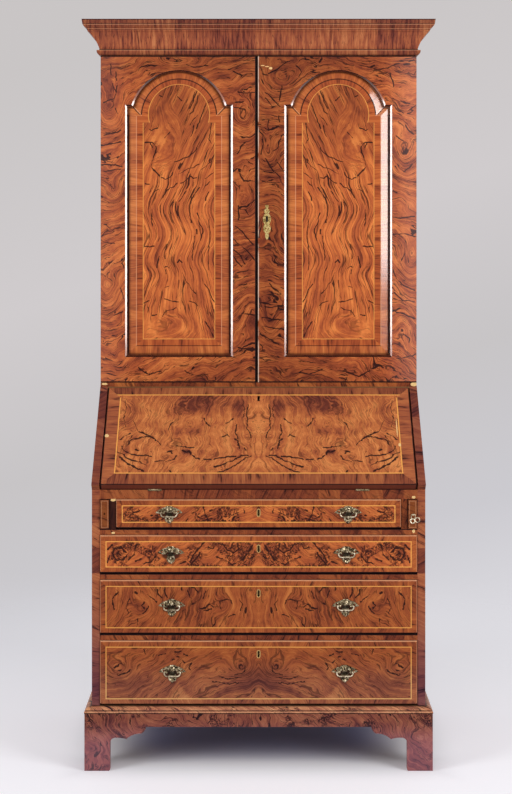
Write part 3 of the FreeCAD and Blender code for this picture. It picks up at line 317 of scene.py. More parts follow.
def cross_band(t, along, across, seed, piece=0.05, spread=0.50, slant=1.2):
    """Cross-grain banding: short lines across the band, in pieces of uneven tone."""
    wob = t.noise(t.vec(along, across, seed), 9.0, 1.0) * 0.02
    which = ((along + wob) / piece).floor()
    tone = t.speck(t.vec(which, seed))
    lean = across * (tone - 0.5) * slant
    lines = t.noise(t.vec((along + lean) * 330.0, across * 14.0, seed), 1.0, 3.0, 0.6)
    wide = t.noise(t.vec((along + lean) * 75.0, across * 14.0, seed), 1.0, 2.0, 0.5)
    rift = t.noise(t.vec((along + lean) * 190.0, across * 40.0, seed + 3.0), 1.0, 1.0, 0.5)
    dark = (wide.step(0.42, 0.32) * lines.step(0.62, 0.42)).max(rift.step(0.30, 0.22))
    return ((tone - 0.5) * spread + (lines - 0.5) * 1.0 + (wide - 0.5) * 0.8 + 0.48).clamp(), dark * 0.9


def surface_waver(t):
    """The slight unevenness of old veneer under polish."""
    place = t.vec(*t.xyz())
    return t.noise(place, 55.0, 3.0, 0.5) + t.noise(place, 9.0, 1.0) * 2.0


def polish(t, colour, rough=0.36):
    return t.finish(colour, rough, 0.0, 0.025, 0.12, surface_waver(t), 0.00010)


def chips(t, colour, x, z, places):
    """Pale bare wood where veneer is lost, at (x, z, half width, half height) places."""
    rag = t.noise(t.vec(x, z), 420.0, 2.0, 0.6) * 0.8 + 0.6
    for cx, cz, wide, high in places:
        far = ((x - cx) * (x - cx) * (1.0 / wide ** 2) + (z - cz) * (z - cz) * (1.0 / high ** 2))
        colour = t.mix(far.below(rag), colour, CHIP)
    return colour


# Materials
def paint_drawer(node, seed, tint, flow, wild, handle, eyes=(), smoke=(), burrs=(), burr_all=0.0, broad=0.6,
                 paths=(), lines=1.0, foot_tint=None, mottle=0.7, wedges=(), band_share=1.0):
    """Drawer front: thin pale lip with a painted highlight, brighter on top, cross-band, stringing, veneer
    book-matched about the middle, lighter wedges below the (x, z) peaks, grime and painted shadow behind the handles
    at the (x, z) place given, and painted shade along the bottom edge and in the keyhole and gaps."""
    low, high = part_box(node)
    t = Tree(node + "_veneer")
    x, y, z = t.xyz()
    side = high.x - abs(x)
    level = (z - low.z).min(high.z - z)
    edge = side.min(level)
    u = abs(x)
    v = z - low.z
    tone, dark = veneer(t, u, v, seed, flow, wild, eyes, smoke, burrs, lines, burr_all, broad, 0.007, mottle)
    if paths:
        dark = dark.max(strokes(t, u, z, seed + 8.0, paths, 0.0021, 0.012, 0.006))
    for peak_x, peak_z, spread in wedges:
        within = (peak_z - z) * spread - abs(u - peak_x) + (tone - 0.55) * 0.02
        beside = within.step(-0.045, -0.006) * within.step(0.004, -0.006)
        tone = tone + within.step(-0.006, 0.010) * 0.13 - beside * 0.13
    # Grime and painted shadow: a dark patch on the front just below each handle.
    grime_and_shade = spot(t, u, z, (handle[0], handle[1] - 0.009, 0.027, 0.013)).step(0.22, 0.55)
    dark = dark.max(grime_and_shade * 0.9)
    field = wood_colour(t, tone, dark, tint)
    on_side = side.below(level)
    along = t.blend(on_side, x, z)
    btone, bdark = cross_band(t, along, edge, seed, 0.05, 0.30)
    band = wood_colour(t, btone, bdark.max(grime_and_shade * 0.8), tint * band_share)
    colour = t.mix(edge.above(0.0165), band, field)
    line = edge.line(0.0172, 0.0016, 0.35)
    colour = t.mix(line * 0.86, colour, tuple(c * tint ** 0.35 for c in BOX_WOOD))
    if foot_tint:
        colour = t.mix(v.step(0.15, 0.04), colour, tinted(t, colour, foot_tint))
    # Painted highlight on the pale lip round the front, brighter along the top edge.
    lip = edge.below(0.0024) * v.above(0.004)
    colour = t.mix(lip * t.blend((high.z - z).below(0.0026), 0.38, 0.80), colour, PALE_EDGE)
    # Painted shadow: a black line along the bottom edge of the front.
    colour = t.mix(v.step(0.0042, 0.0030), colour, LINE)
    # Painted shade on all that lies over 6 mm behind the face: the keyhole slot and the edges in the gaps.
    colour = t.mix(y.above(FACE_Y + 0.0062), colour, LINE)
    assign(polish(t, colour), node)


def paint_door_frame(node, seed, outer, inner, top, eyes, smoke, paths, haze, arris=None):
    """Door frame: wild figure with a few bold lines, its tone set by the place with painted light and shade, lighter
    at the outer stile, darker at the meeting stile, above the arch and at the bottom; painted shade at its ends, a
    painted whitish sheen at its outer edge, and a painted highlight along the arris if one is given, else painted
    shade along the meeting edge."""
    t = Tree(node + "_veneer")
    x, y, z = t.xyz()
    u = abs(x)
    tone, dark = veneer(t, u, z, seed, (0.30, 1.0), 0.085, eyes, smoke, broad=1.25, mottle=1.1)
    dark = dark.max(strokes(t, u, z, seed + 8.0, paths))
    # Painted light and shade: lighter towards the outer stile, darker at the meeting stile, above the arch and at the
    # bottom rail.
    level = t.blend(u.step(0.05, 0.42), inner, outer)
    level = level * t.blend(z.step(ARCH_TOP - 0.05, ARCH_TOP + 0.02), 1.0, top)
    level = level * t.blend(z.step(PANEL_LOW.z, PANEL_LOW.z - 0.06), 1.0, 0.90)
    colour = tinted(t, wood_colour(t, tone, dark, level), (0.99, 0.94, 0.97))
    # Painted sheen: a whitish-pink reflection along the outer stile, as strong as the haze amount.
    colour = t.mix(u.step(0.36, 0.47) * haze, colour, (0.92, 0.64, 0.66))
    low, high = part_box(node)
    ends = (z - low.z).min(high.z - z)
    # Painted shade: black along the top and bottom ends, in the gaps by the cornice and the base.
    colour = t.mix(ends.step(0.0034, 0.0022), colour, LINE)
    if arris is None:
        # Painted shade along the meeting edge, in the gap between the doors.
        colour = t.mix(u.step(-high.x + 0.0085, -high.x + 0.0070), colour, LINE)
    else:
        # Painted highlight along the meeting arris, broken up by noise; worn here is only that noise, not wear.
        worn = t.noise(t.vec(x, y, z), 14.0, 3.0, 0.6).step(0.36, 0.52)
        rim = (x - low.x).step(0.0036, 0.0024) * worn
        colour = t.mix(rim * 0.8, colour, arris)
        colour = chips(t, colour, x, z, ((0.036, 2.000, 0.005, 0.0035), (0.025, 2.005, 0.006, 0.0014),
                                         (0.012, 2.008, 0.006, 0.0014)))
    assign(polish(t, colour), node)


# Shape of the doors' arched panels
PANEL_LOW, PANEL_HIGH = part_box("door_right_panel")
PANEL_X = (PANEL_LOW.x + PANEL_HIGH.x) / 2
PANEL_HALF = (PANEL_HIGH.x - PANEL_LOW.x) / 2
SHOULDER = 0.019
ARCH_RISE = 0.103
ARCH_HALF = PANEL_HALF - SHOULDER
ARCH_RADIUS = (ARCH_HALF ** 2 + ARCH_RISE ** 2) / (2 * ARCH_RISE)
ARCH_TOP = PANEL_HIGH.z
SHOULDER_Z = ARCH_TOP - ARCH_RISE
ARCH_Z = ARCH_TOP - ARCH_RADIUS


def panel_inset(x, z):
    """Distance in from the arched outline of either door's panel."""
    off = abs(abs(x) - PANEL_X)
    block = (PANEL_HALF - off).min(z - PANEL_LOW.z).min(SHOULDER_Z - z)
    rise = z - ARCH_Z
    radius = (off * off + rise * rise).power(0.5)
    drawn = (ARCH_RADIUS - radius) / (1.092 - rise / radius * 0.294)
    return block.max(drawn), off, rise


# Figure of the door panels: (off the middle, height, half width, half height, strength)
PANEL_EYES = ((-0.03, 1.915, 0.075, 0.045, -0.07), (0.02, 1.76, 0.05, 0.07, 0.05), (0.0, 1.225, 0.10, 0.06, 0.085))
PANEL_SMOKE = ((0.045, 1.925, 0.05, 0.03, 0.20), (-0.06, 1.81, 0.03, 0.03, 0.14))
# Its boldest lines: weight, then distance from the cabinet's middle and height of each point, in mm
PANEL_LINES = (
    (1.0, 136, 1905, 141, 1885, 141, 1868), (1.3, 156, 1896, 170, 1862, 184, 1822),
    (0.9, 191, 1928, 194, 1900, 206, 1880), (0.8, 180, 1920, 184, 1895, 196, 1872, 208, 1862),
    (0.8, 184, 1862, 194, 1845, 202, 1832), (0.8, 190, 1830, 203, 1797),
    (0.8, 143, 1850, 142, 1825, 148, 1790, 143, 1775), (1.0, 184, 1765, 190, 1752, 205, 1738, 228, 1728, 252, 1722),
    (0.7, 178, 1716, 192, 1704, 212, 1700, 240, 1685), (0.7, 144, 1722, 156, 1708, 168, 1698),
    (0.7, 135, 1690, 160, 1672), (0.7, 143, 1664, 160, 1648),
    (1.1, 184, 1676, 194, 1671, 202, 1677, 212, 1668, 232, 1660), (1.1, 242, 1658, 258, 1643, 272, 1638, 284, 1618),
    (1.4, 178, 1645, 192, 1622, 203, 1605, 206, 1580, 205, 1560, 199, 1541), (1.3, 149, 1632, 155, 1618, 157, 1605),
    (0.9, 214, 1635, 228, 1618, 238, 1603), (1.5, 247, 1602, 246, 1580, 242, 1562),
    (1.3, 182, 1570, 176, 1540, 167, 1520, 168, 1500, 172, 1488), (1.7, 184, 1520, 183, 1510),
    (0.8, 190, 1500, 193, 1470, 198, 1428), (0.8, 147, 1560, 146, 1500, 150, 1450, 149, 1400),
    (1.0, 271, 1475, 280, 1455, 279, 1435), (1.4, 297, 1440, 301, 1410), (1.0, 263, 1405, 271, 1409, 279, 1408),
    (0.9, 276, 1400, 276, 1388), (1.4, 230, 1422, 238, 1430, 243, 1424), (1.1, 318, 1580, 317, 1550, 315, 1530),
    (1.1, 227, 1390, 216, 1368, 205, 1355, 200, 1343, 188, 1330), (1.2, 160, 1358, 150, 1345, 140, 1322, 132, 1305),
    (1.4, 160, 1248, 150, 1235, 141, 1215, 137, 1200), (0.8, 240, 1305, 262, 1308, 280, 1314),
    (1.2, 325, 1307, 342, 1301), (0.8, 180, 1295, 205, 1308), (0.8, 245, 1286, 262, 1281, 280, 1275, 287, 1262),
    (0.9, 305, 1268, 318, 1265),
    (1.6, 338, 1777, 325, 1779, 315, 1778, 307, 1768, 305, 1750, 312, 1736, 318, 1722, 317, 1705, 308, 1692, 295,
     1682),
    (1.2, 322, 1778, 318, 1765), (0.8, 255, 1690, 260, 1676, 275, 1669, 290, 1676),
    (1.2, 330, 1912, 329, 1880, 333, 1845), (1.9, 231, 1905, 240, 1915), (1.8, 286, 1914, 294, 1918),
    (0.8, 262, 1808, 278, 1792), (1.0, 302, 1825, 318, 1815, 326, 1820), (0.9, 298, 1640, 312, 1633),
    (1.0, 325, 1657, 338, 1656), (0.9, 310, 1471, 325, 1468, 340, 1470), (1.2, 270, 1352, 280, 1349),
    (1.2, 300, 1200, 310, 1195),
)


def panel_material():
    """Fielded panel: bevel, cross-band, stringing, book-matched figure."""
    t = Tree("door_panel_veneer")
    x, y, z = t.xyz()
    inset, off, rise = panel_inset(x, z)
    u = abs(x) - PANEL_X
    bow = t.math("COSINE", (z - 1.58) * (math.tau / 0.15)) * 0.012 * z.step(1.34, 1.42) * z.step(1.70, 1.64)
    fan = 1.0 + (1.38 - z).max(0.0) * 4.0
    flow = u / fan - bow + (z - 1.64).max(0.0) * 0.46
    tone, dark = veneer(t, flow, z * 0.5, 4.0, (1.0, 0.0), 0.020, broad=0.9, mottle=1.0, lines=0.95)
    etone, edark = veneer(t, u, z, 5.0, (0.80, 0.35), 0.040, PANEL_EYES, PANEL_SMOKE, broad=0.9, mottle=1.0)
    upper, lower = [spot(t, u, z, place).step(0.30, 0.60)
                    for place in ((0.045, 1.80, 0.06, 0.12), (0.02, 1.22, 0.09, 0.06))]
    swirl = upper.max(lower)
    drawn = strokes(t, abs(x), z, 3.0, PANEL_LINES, 0.0017)
    glow = t.noise(t.vec(flow * 60.0, z * 8.0, 7.0), 1.0, 2.0, 0.5).step(0.50, 0.66)
    glow = glow * t.noise(t.vec(u, z, 8.0), 9.0, 2.0).step(0.40, 0.60) * 0.26
    shade = t.blend(z.step(1.95, 1.60), 0.87, 1.20) - z.step(1.45, 1.25) * 0.05
    field = wood_colour(t, t.blend(swirl, tone, etone) + glow, t.blend(swirl, dark, edark * 0.5).max(drawn), shade)
    field = tinted(t, field, (0.99, 0.97, 0.93))
    level = z - PANEL_LOW.z
    on_side = (PANEL_HALF - off).below(level) * z.below(SHOULDER_Z - 0.03)
    on_arch = z.above(SHOULDER_Z - 0.03)
    turn = t.math("ARCTAN2", off, rise) * 0.12
    along = t.blend(on_arch, t.blend(on_side, x, z), turn)
    btone, bdark = cross_band(t, along, inset, 2.0, 0.045, 0.28, 0.3)
    band = wood_colour(t, btone + 0.04, bdark * 0.5, (0.94, 0.84, 0.80))
    bevel = wood_colour(t, (btone + 0.12).clamp(), bdark * 0.4, 1.0)
    colour = t.mix(inset.above(0.0325), bevel, band)
    colour = t.mix(inset.above(0.0530), colour, field)
    off_step = 1.0 - abs(SHOULDER_Z - z - inset).below(0.0004) * 0.8
    string = inset.line(0.0534, 0.0014, 0.35) * off_step
    colour = t.mix(string * 0.62, colour, BOX_WOOD)
    edge = (1.0 - abs(inset - 0.0333) / t.blend(on_arch, 0.0015, 0.0028)).step(0.0, 0.6) * off_step
    colour = t.mix(edge * t.blend(on_side, 0.90, 0.65), colour, t.mix(on_side, LINE, PALE_EDGE))
    out, above = off - ARCH_HALF, z - SHOULDER_Z
    along_mitre = (out * 0.674 + above * 0.739) * -1.0
    across_mitre = out * 0.739 - above * 0.674
    on_mitre = along_mitre.above(0.006) * along_mitre.below(0.038)
    colour = t.mix(across_mitre.line(0.0020, 0.0020) * on_mitre * 0.85, colour, LINE)
    colour = t.mix(across_mitre.line(-0.0006, 0.0014) * on_mitre * 0.6, colour, PALE_EDGE)
    # Painted shade in the groove between the bead and the bevel, weaker on the sides.
    groove_shade = inset.step(0.0130, 0.0095) * t.blend(on_side, 0.55, 1.0)
    colour = t.mix(groove_shade * 0.97, colour, LINE)
    gloss = inset.below(0.0325) * t.blend(x.above(0.33) * (z.step(1.30, 1.47) * 0.85 + 0.15), 0.01, 1.0)
    return t.finish(colour, 0.34, 0.0, gloss.max(0.03), 0.10, surface_waver(t), 0.00010, 1.85)


def bead_material():
    """Polished bead: painted shade where it faces up or down and on its inner side."""
    t = Tree("door_bead_wood")
    x, y, z = t.xyz()
    nx, ny, nz = t.normal()
    inset = panel_inset(x, z)[0]
    lines = t.noise(t.vec(x * 60.0, y * 5.0, z * 60.0), 1.0, 3.0, 0.6)
    colour = wood_colour(t, lines, lines.step(0.40, 0.30) * 0.5, 0.75)
    # Painted shade where the bead faces up or down, and on its inner side.
    colour = t.mix(abs(nz).step(0.24, 0.38) * 0.92, colour, LINE)
    colour = t.mix(inset.step(0.0056, 0.0062), colour, LINE)
    coat = inset.below(0.0058) * abs(nx).step(0.18, 0.36)
    return t.finish(colour, 0.25, 0.0, coat, 0.12, t.noise(t.vec(x, y, z), 120.0, 2.0), 0.00008, 2.3)


# Figure of the slant fall, one half: (from the middle, up the slope, half width, half height, strength)
FALL_SMOKE = ((0.165, 0.305, 0.085, 0.036, 0.42), (0.195, 0.27, 0.045, 0.026, 0.32), (0.055, 0.28, 0.02, 0.055, 0.34),
              (0.37, 0.275, 0.018, 0.045, 0.30), (0.205, 0.19, 0.03, 0.022, 0.34), (0.206, 0.114, 0.014, 0.009, 0.6),
              (0.378, 0.115, 0.01, 0.012, 0.35), (0.115, 0.22, 0.06, 0.03, -0.14), (0.32, 0.24, 0.04, 0.05, -0.16),
              (0.0, 0.22, 0.012, 0.09, -0.25))
# Its crinkled lines: weight, then distance from the middle and way up the slope of each point, in mm
FALL_LINES = (
    (1.0, 398, 158, 385, 172, 372, 178),
    (1.2, 372, 142, 366, 158, 350, 160, 335, 165, 315, 166, 300, 158, 285, 145, 282, 138),
    (1.1, 345, 185, 330, 178, 320, 172, 305, 165),
    (1.2, 392, 135, 388, 120, 380, 112, 365, 106, 345, 100, 320, 100, 305, 96),
    (1.2, 405, 112, 390, 105, 375, 90, 350, 80, 330, 75, 318, 68), (1.1, 395, 95, 380, 78, 355, 62, 335, 50, 325, 44),
    (1.6, 352, 120, 343, 119), (1.1, 262, 112, 248, 115, 246, 105), (1.3, 105, 165, 92, 172, 85, 164),
    (1.2, 68, 160, 60, 152, 56, 135, 52, 122), (1.5, 188, 100, 180, 90, 170, 88), (0.9, 155, 86, 135, 86),
    (1.2, 125, 88, 105, 90, 85, 97, 65, 98), (1.2, 125, 60, 110, 66, 90, 75, 70, 85, 50, 98, 30, 100),
    (1.0, 115, 42, 90, 50, 65, 68, 45, 85, 20, 100), (1.6, 216, 118, 205, 112, 200, 118, 195, 105),
    (1.4, 40, 125, 36, 118), (0.7, 30, 285, 35, 250, 32, 200, 22, 165), (0.8, 62, 210, 68, 180, 60, 160),
    (1.1, 185, 128, 200, 128, 215, 132, 235, 136), (0.9, 365, 170, 372, 155, 374, 140),
    (0.8, 158, 235, 152, 215, 140, 205), (0.7, 75, 235, 85, 222, 95, 215), (0.8, 250, 220, 258, 205, 262, 190),
    (0.3, 365, 225, 350, 190), (1.0, 234, 98, 242, 86, 265, 82, 295, 81), (1.1, 250, 46, 246, 40),
    (0.35, 395, 300, 388, 270, 393, 240, 384, 205), (0.35, 46, 300, 40, 270, 46, 240),
)


def fall_material():
    """Slant fall: cross-band, stringing and mirrored leaves on the slope."""
    low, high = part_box("fall_board")
    t = Tree("fall_veneer")
    x, y, z = t.xyz()
    slope = (high.z - low.z - 0.0184) * math.sqrt(2.0)
    up = (z - low.z - 0.0184) * math.sqrt(2.0)
    side = high.x - abs(x)
    level = up.min(slope - up)
    edge = side.min(level)
    u = abs(x)
    tone, dark = veneer(t, u, up, 11.0, (1.0, 0.25), 0.10, (), FALL_SMOKE, (), 0.55, 0.0, 0.35, 0.012, 1.1)
    tone = tone + spot(t, x, up, (0.405, 0.075, 0.03, 0.03)) * 0.4
    tone = tone + (t.noise(t.vec(u, up, 16.0), 17.0, 5.0, 0.65) - 0.5) * 0.9
    dark = dark.max(strokes(t, u, up, 12.0, FALL_LINES, 0.0025, 0.014, 0.006))
    field = wood_colour(t, tone + 0.09, dark, (1.0, 1.13, 1.28))
    on_side = side.below(level)
    along = t.blend(on_side, x, up)
    ctone, cdark = cross_band(t, along, edge, 5.0, 0.06, 0.35, 0.3)
    band = wood_colour(t, ctone, cdark, (1.0, 1.15, 1.55))
    band = tinted(t, band, t.blend(on_side, t.blend(up.below(0.1), 0.64, 0.72), 0.84))
    is_top = (slope - up).below(side.min(up))
    inner = t.blend(is_top, t.blend(up.below(side), 0.0375, 0.0385), 0.0275)
    colour = t.mix((edge - inner).above(0.0), band, field)
    line = edge.line(inner, 0.0020, 0.35)
    colour = t.mix(line * 0.88, colour, BOX_WOOD)
    # Painted shade in the keyhole.
    hole = (1.0 - abs(x) * (1.0 / 0.0036)).min(1.0 - abs(slope - up - 0.041) * (1.0 / 0.0100)).above(0.0)
    colour = t.mix(hole, colour, LINE)
    # Painted shade: the downward-facing lower edge dark, a black line along the bottom arris, and black lines down
    # the sides in the gaps.
    lower = (z - low.z).step(0.0190, 0.0175)
    colour = t.mix(lower * 0.92, colour, DARK)
    arris = (1.0 - abs(z - low.z - 0.0178) * (1.0 / 0.0016)).above(0.0).max((z - low.z).below(0.0035))
    colour = t.mix(arris * 0.9, colour, LINE)
    rim = (high.x - abs(x)).step(0.0030, 0.0018)
    colour = t.mix(rim * 0.9, colour, LINE)
    colour = chips(t, colour, x, z, ((-0.438, 0.925, 0.006, 0.004), (0.4005, 0.946, 0.0014, 0.024),
                                     (0.405, 0.902, 0.004, 0.004)))
    return polish(t, colour)


def banded_material(name, seed, tint, chip_places, shadow_heights=(), painted_shade_left_of=None):
    """Cross-grain wood with its short lines set along x, chipped on its front. Painted shade lies just below the
    shadow heights, and left of the place given last."""
    t = Tree(name)
    x, y, z = t.xyz()
    tone, dark = cross_band(t, x, z + y, seed, 0.06)
    wtone, wdark = veneer(t, x, z, seed + 2.0, (0.6, 0.8), 0.05)
    colour = wood_colour(t, (tone * 0.8 + wtone * 0.2).clamp(), dark.max(wdark * 0.5), tint)
    # Painted shadow: a black line just below each shadow height, under the drawer fronts.
    for height in shadow_heights:
        under = height - z
        colour = t.mix(under.below(0.0026) * under.above(-0.001), colour, LINE)
    # Painted shade over everything left of the place given last.
    if painted_shade_left_of is not None:
        colour = t.mix(x.below(painted_shade_left_of) * 0.85, colour, LINE)
    colour = t.mix(t.normal()[1].below(-0.3), colour, chips(t, colour, x, z, chip_places))
    return polish(t, colour)


def cornice_material():
    """Cornice: streaked cross-grain, dusky on top, with painted shade in black lines in its quirks and painted
    highlights along its arrises.
    """
    low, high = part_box("cornice")
    t = Tree("cornice_wood")
    x, y, z = t.xyz()
    nx, ny, nz = t.normal()
    on_side = abs(nx).above(0.5)
    along = t.blend(on_side, x, y)
    tone, dark = cross_band(t, along, z - low.z, 31.0, 0.12, 0.40, 0.2)
    rows = t.noise(t.vec(along * 520.0, z * 60.0), 1.0, 2.0, 0.6)
    streaks = t.noise(t.vec(along * 130.0, z * 16.0, 3.0), 1.0, 3.0, 0.6)
    tone = (tone + (streaks - 0.5) * 1.5).clamp()
    dark = (dark * 0.6).max(rows.step(0.42, 0.30) * 0.85)
    level = (z - low.z) * (1.0 / (high.z - low.z))
    shade = t.blend(level.step(0.62, 0.90), t.blend(level.step(0.10, 0.30), 0.60, 0.82), 0.50)
    colour = tinted(t, wood_colour(t, tone, dark, shade), (1.04, 1.16, 1.75))
    colour = t.mix(level.step(0.70, 0.95) * 0.10, colour, tinted(t, colour, (0.95, 0.90, 2.2)))
    # Painted shade: black lines in the quirks, except on faces turned straight up or down.
    for height, width in ((0.0, 0.018), (0.172, 0.016), (0.700, 0.010), (0.868, 0.008), (1.0, 0.030)):
        quirk_shade = level.line(height, width, 0.4) * abs(nz).below(0.9)
        colour = t.mix(quirk_shade * 0.9, colour, LINE)
    # Painted highlights: pale lines along the arrises of the fillets.
    for height, width in ((0.145, 0.012), (0.735, 0.010), (0.845, 0.010)):
        colour = t.mix(level.line(height, width, 0.4) * 0.45, colour, PALE_EDGE)
    return polish(t, colour)


def moulding_material():
    """Plinth moulding: golden, spotted, with a painted highlight along the arris between painted shade lines, and
    painted shade at its foot and its top.
    """
    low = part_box("plinth_moulding")[0]
    t = Tree("plinth_moulding_wood")
    x, y, z = t.xyz()
    tone, dark = veneer(t, x + y, z * 2.0, 47.0, (0.9, 0.5), 0.08, (), (), (), 1.0, 0.6, 1.0, 0.007, 1.3)
    colour = wood_colour(t, tone + 0.14, dark, (0.93, 1.36, 2.5))
    rise = z - low.z
    # Painted shade at the foot, a painted highlight, a painted shade line, and the painted shadow of the drawer above
    # at the top.
    colour = t.mix(rise.step(0.0030, 0.0016) * 0.95, colour, LINE)
    colour = t.mix(rise.line(0.0048, 0.0016) * 0.45, colour, PALE_EDGE)
    colour = t.mix(rise.line(0.0078, 0.0018) * 0.80, colour, LINE)
    colour = t.mix(rise.step(0.0162, 0.0176) * 0.85, colour, LINE)
    return polish(t, colour)


def loper_material():
    """Loper ends: dark, with a pale line round and painted shade at the edges."""
    t = Tree("loper_wood")
    x, y, z = t.xyz()
    low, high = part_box("loper_right")
    edge = (abs(x) - low.x).min(high.x - abs(x)).min(z - low.z).min(high.z - z)
    tone, dark = cross_band(t, z, x, 37.0, 0.05)
    colour = wood_colour(t, tone, dark, 0.43)
    line = edge.line(0.0050, 0.0014, 0.4)
    colour = t.mix(line * 0.28, colour, PALE_EDGE)
    # Painted shade round the edges, in the gaps about the loper.
    colour = t.mix(edge.step(0.0022, 0.0012), colour, LINE)
    return polish(t, colour)


def side_material(name, seed, tint, darker_below=None):
    """Case sides: figured veneer on the side faces and cross-grain on the front edges, which are darker and bluer
    below a height, if one is given, and then dark on the slope."""
    t = Tree(name)
    x, y, z = t.xyz()
    nx, ny, nz = t.normal()
    tone, dark = veneer(t, y, z, seed, (1.0, 0.12), 0.05)
    ctone, cdark = cross_band(t, z, x, seed, 0.07)
    on_side = abs(nx).above(0.6)
    tone, dark = t.blend(on_side, ctone, tone), t.blend(on_side, cdark, dark)
    colour = wood_colour(t, tone, dark, (tint, tint * 1.10, tint * 1.65))
    if darker_below is not None:
        # Darker and bluer below the height given.
        colour = t.mix(z.step(darker_below, 0.18) * (1.0 - on_side * 0.8), colour, tinted(t, colour, (0.50, 0.55, 1.3)))
        colour = t.mix(nz.above(0.4), colour, tinted(t, colour, (0.70, 0.66, 0.85)))
    return polish(t, colour)


def plinth_material(name, seed, tint, low_tint):
    """Burr veneer of the plinth and feet, greyer towards the floor."""
    t = Tree(name)
    x, y, z = t.xyz()
    tone, dark = veneer(t, x + y * 0.7, z, seed, (0.8, 0.5), 0.12, (), (), (), 1.0, 0.55, 0.7)
    colour = wood_colour(t, tone, dark, tint)
    # Darker, greyer colour towards the floor; worn names only this colour, not wear.
    worn = wood_colour(t, tone, dark * 0.85, low_tint)
    worn = t.mix(0.07, worn, (0.62, 0.56, 0.72))
    colour = t.mix(z.step(0.15, 0.06), colour, worn)
    return polish(t, colour, 0.40)


def plain_wood(name, along, light, dark, rough):
    """Plain straight-grained wood, its grain along an axis."""
    t = Tree(name)
    coords = t.xyz()
    grain = t.vec(*[c * (1.71 if axis == along else 38.0) for axis, c in enumerate(coords)])
    wide = t.noise(grain, 1.0, 4.0, 0.55, 0.5)
    fine = t.noise(grain, 7.0, 2.0, 0.6)
    stain = t.noise(t.vec(*coords), 4.0, 3.0, 0.6)
    colour = t.ramp((wide * 0.7 + fine * 0.3).clamp(), [(0.30, dark), (0.62, light)])
    colour = t.mix(stain.step(0.35, 0.70) * 0.45, colour, dark)
    return t.finish(colour, rough, 0.0, 0.0, 0.2, wide + fine * 0.5, 0.0003)


def brass_material(name, bright, dull, dirt, relief=0.0006, grain=170.0, rim=None, hollows=()):
    """Old brass: dull, nearly black in the hollows, rubbed bright on what stands out. The keyhole rims at the
    middle have their own colour if one is given, with painted shade on their walls, and the (x, z) hollows are dark."""
    t = Tree(name)
    x, y, z = t.xyz()
    place = t.vec(x, y, z)
    chased = t.noise(place, grain, 2.0, 0.5, 0.6)
    spots = t.noise(place, 420.0, 3.0, 0.6)
    worn = (chased * 0.75 + spots * 0.25).clamp()
    colour = t.ramp(worn, [(0.40, dirt), (0.52, dull), (0.62, bright)])
    rough = t.blend(worn.step(0.40, 0.60), 0.55, 0.26)
    metal = 0.9
    for place_x, place_z in hollows:
        hollow = spot(t, abs(x), z, (place_x, place_z - 0.006, 0.018, 0.0065)).step(0.35, 0.70)
        colour = t.mix(hollow * 0.9, colour, dirt)
    if rim is not None:
        middle = abs(x).below(0.02)
        # Painted shade on the walls of the keyhole rims: black wherever they do not face the front.
        lip = t.mix(abs(t.normal()[1]).above(0.5), LINE, t.mix(spots, rim, tuple(c * 0.8 for c in rim)))
        colour = t.mix(middle, colour, lip)
        metal = t.blend(middle, 0.9, 0.2)
    return t.finish(colour, rough, metal, 0.0, 0.2, chased, relief)


def iron_material():
    t = Tree("lock_iron")
    x, y, z = t.xyz()
    spots = t.noise(t.vec(x, y, z), 160.0, 4.0, 0.6)
    colour = t.ramp(spots, [(0.35, (0.03, 0.022, 0.018)), (0.65, (0.10, 0.09, 0.085))])
    return t.finish(colour, 0.55, 0.7, 0.0, 0.2, spots, 0.0003)


def assign(material, *names):
    for name in names:
        mesh = nodes[name].data
        mesh.materials.clear()
        mesh.materials.append(material)


# Bold lines on the door frames: weight, then distance from the middle and height of each point, in mm
LEFT_LINES = (
    (0.9, 460, 1800, 440, 1805, 410, 1815), (1.3, 470, 1772, 440, 1775, 410, 1782),
    (1.1, 470, 1713, 445, 1712, 425, 1715, 405, 1708), (0.8, 460, 1695, 410, 1700),
    (1.0, 435, 1955, 430, 1940, 425, 1930, 420, 1950), (1.0, 452, 1967, 448, 1953), (0.9, 425, 1990, 422, 1965),
    (0.8, 440, 2010, 438, 1980), (1.0, 425, 1925, 428, 1910, 445, 1905, 460, 1898), (1.6, 470, 1620, 462, 1616),
    (0.9, 425, 1880, 420, 1865), (0.7, 450, 1530, 430, 1515), (0.8, 470, 1490, 455, 1480, 430, 1480),
    (1.2, 406, 1422, 402, 1408), (1.2, 412, 1345, 405, 1330, 402, 1315), (0.9, 430, 1265, 405, 1275),
    (1.0, 455, 1140, 435, 1130), (1.2, 75, 1992, 60, 1985, 45, 1980, 20, 1982), (0.9, 60, 1930, 45, 1925, 10, 1930),
    (1.0, 70, 1900, 45, 1900), (0.9, 75, 1885, 40, 1878), (1.0, 50, 1795, 20, 1795, 10, 1805),
    (1.0, 62, 1745, 55, 1765, 40, 1780), (1.3, 60, 1700, 55, 1685, 45, 1665, 30, 1663, 10, 1663),
    (1.4, 60, 1590, 55, 1585, 50, 1590, 35, 1590, 20, 1600, 8, 1610), (1.3, 60, 1585, 58, 1565, 60, 1550),
    (1.0, 40, 1580, 30, 1565), (1.1, 70, 1530, 50, 1515, 30, 1490, 15, 1478),
    (1.0, 72, 1490, 50, 1470, 30, 1450, 10, 1430), (1.1, 75, 1460, 55, 1445, 40, 1420),
    (1.2, 75, 1440, 60, 1420, 50, 1410), (0.9, 70, 1390, 30, 1398, 10, 1395), (0.9, 60, 1355, 45, 1355, 35, 1360),
    (1.2, 45, 1270, 25, 1268, 8, 1265), (1.3, 60, 1170, 35, 1165, 20, 1168), (0.9, 355, 2000, 330, 2012, 300, 2008),
    (0.9, 215, 2010, 190, 2003, 150, 2008), (1.0, 360, 1110, 330, 1090, 290, 1098),
    (0.9, 220, 1100, 180, 1085, 150, 1090),
)
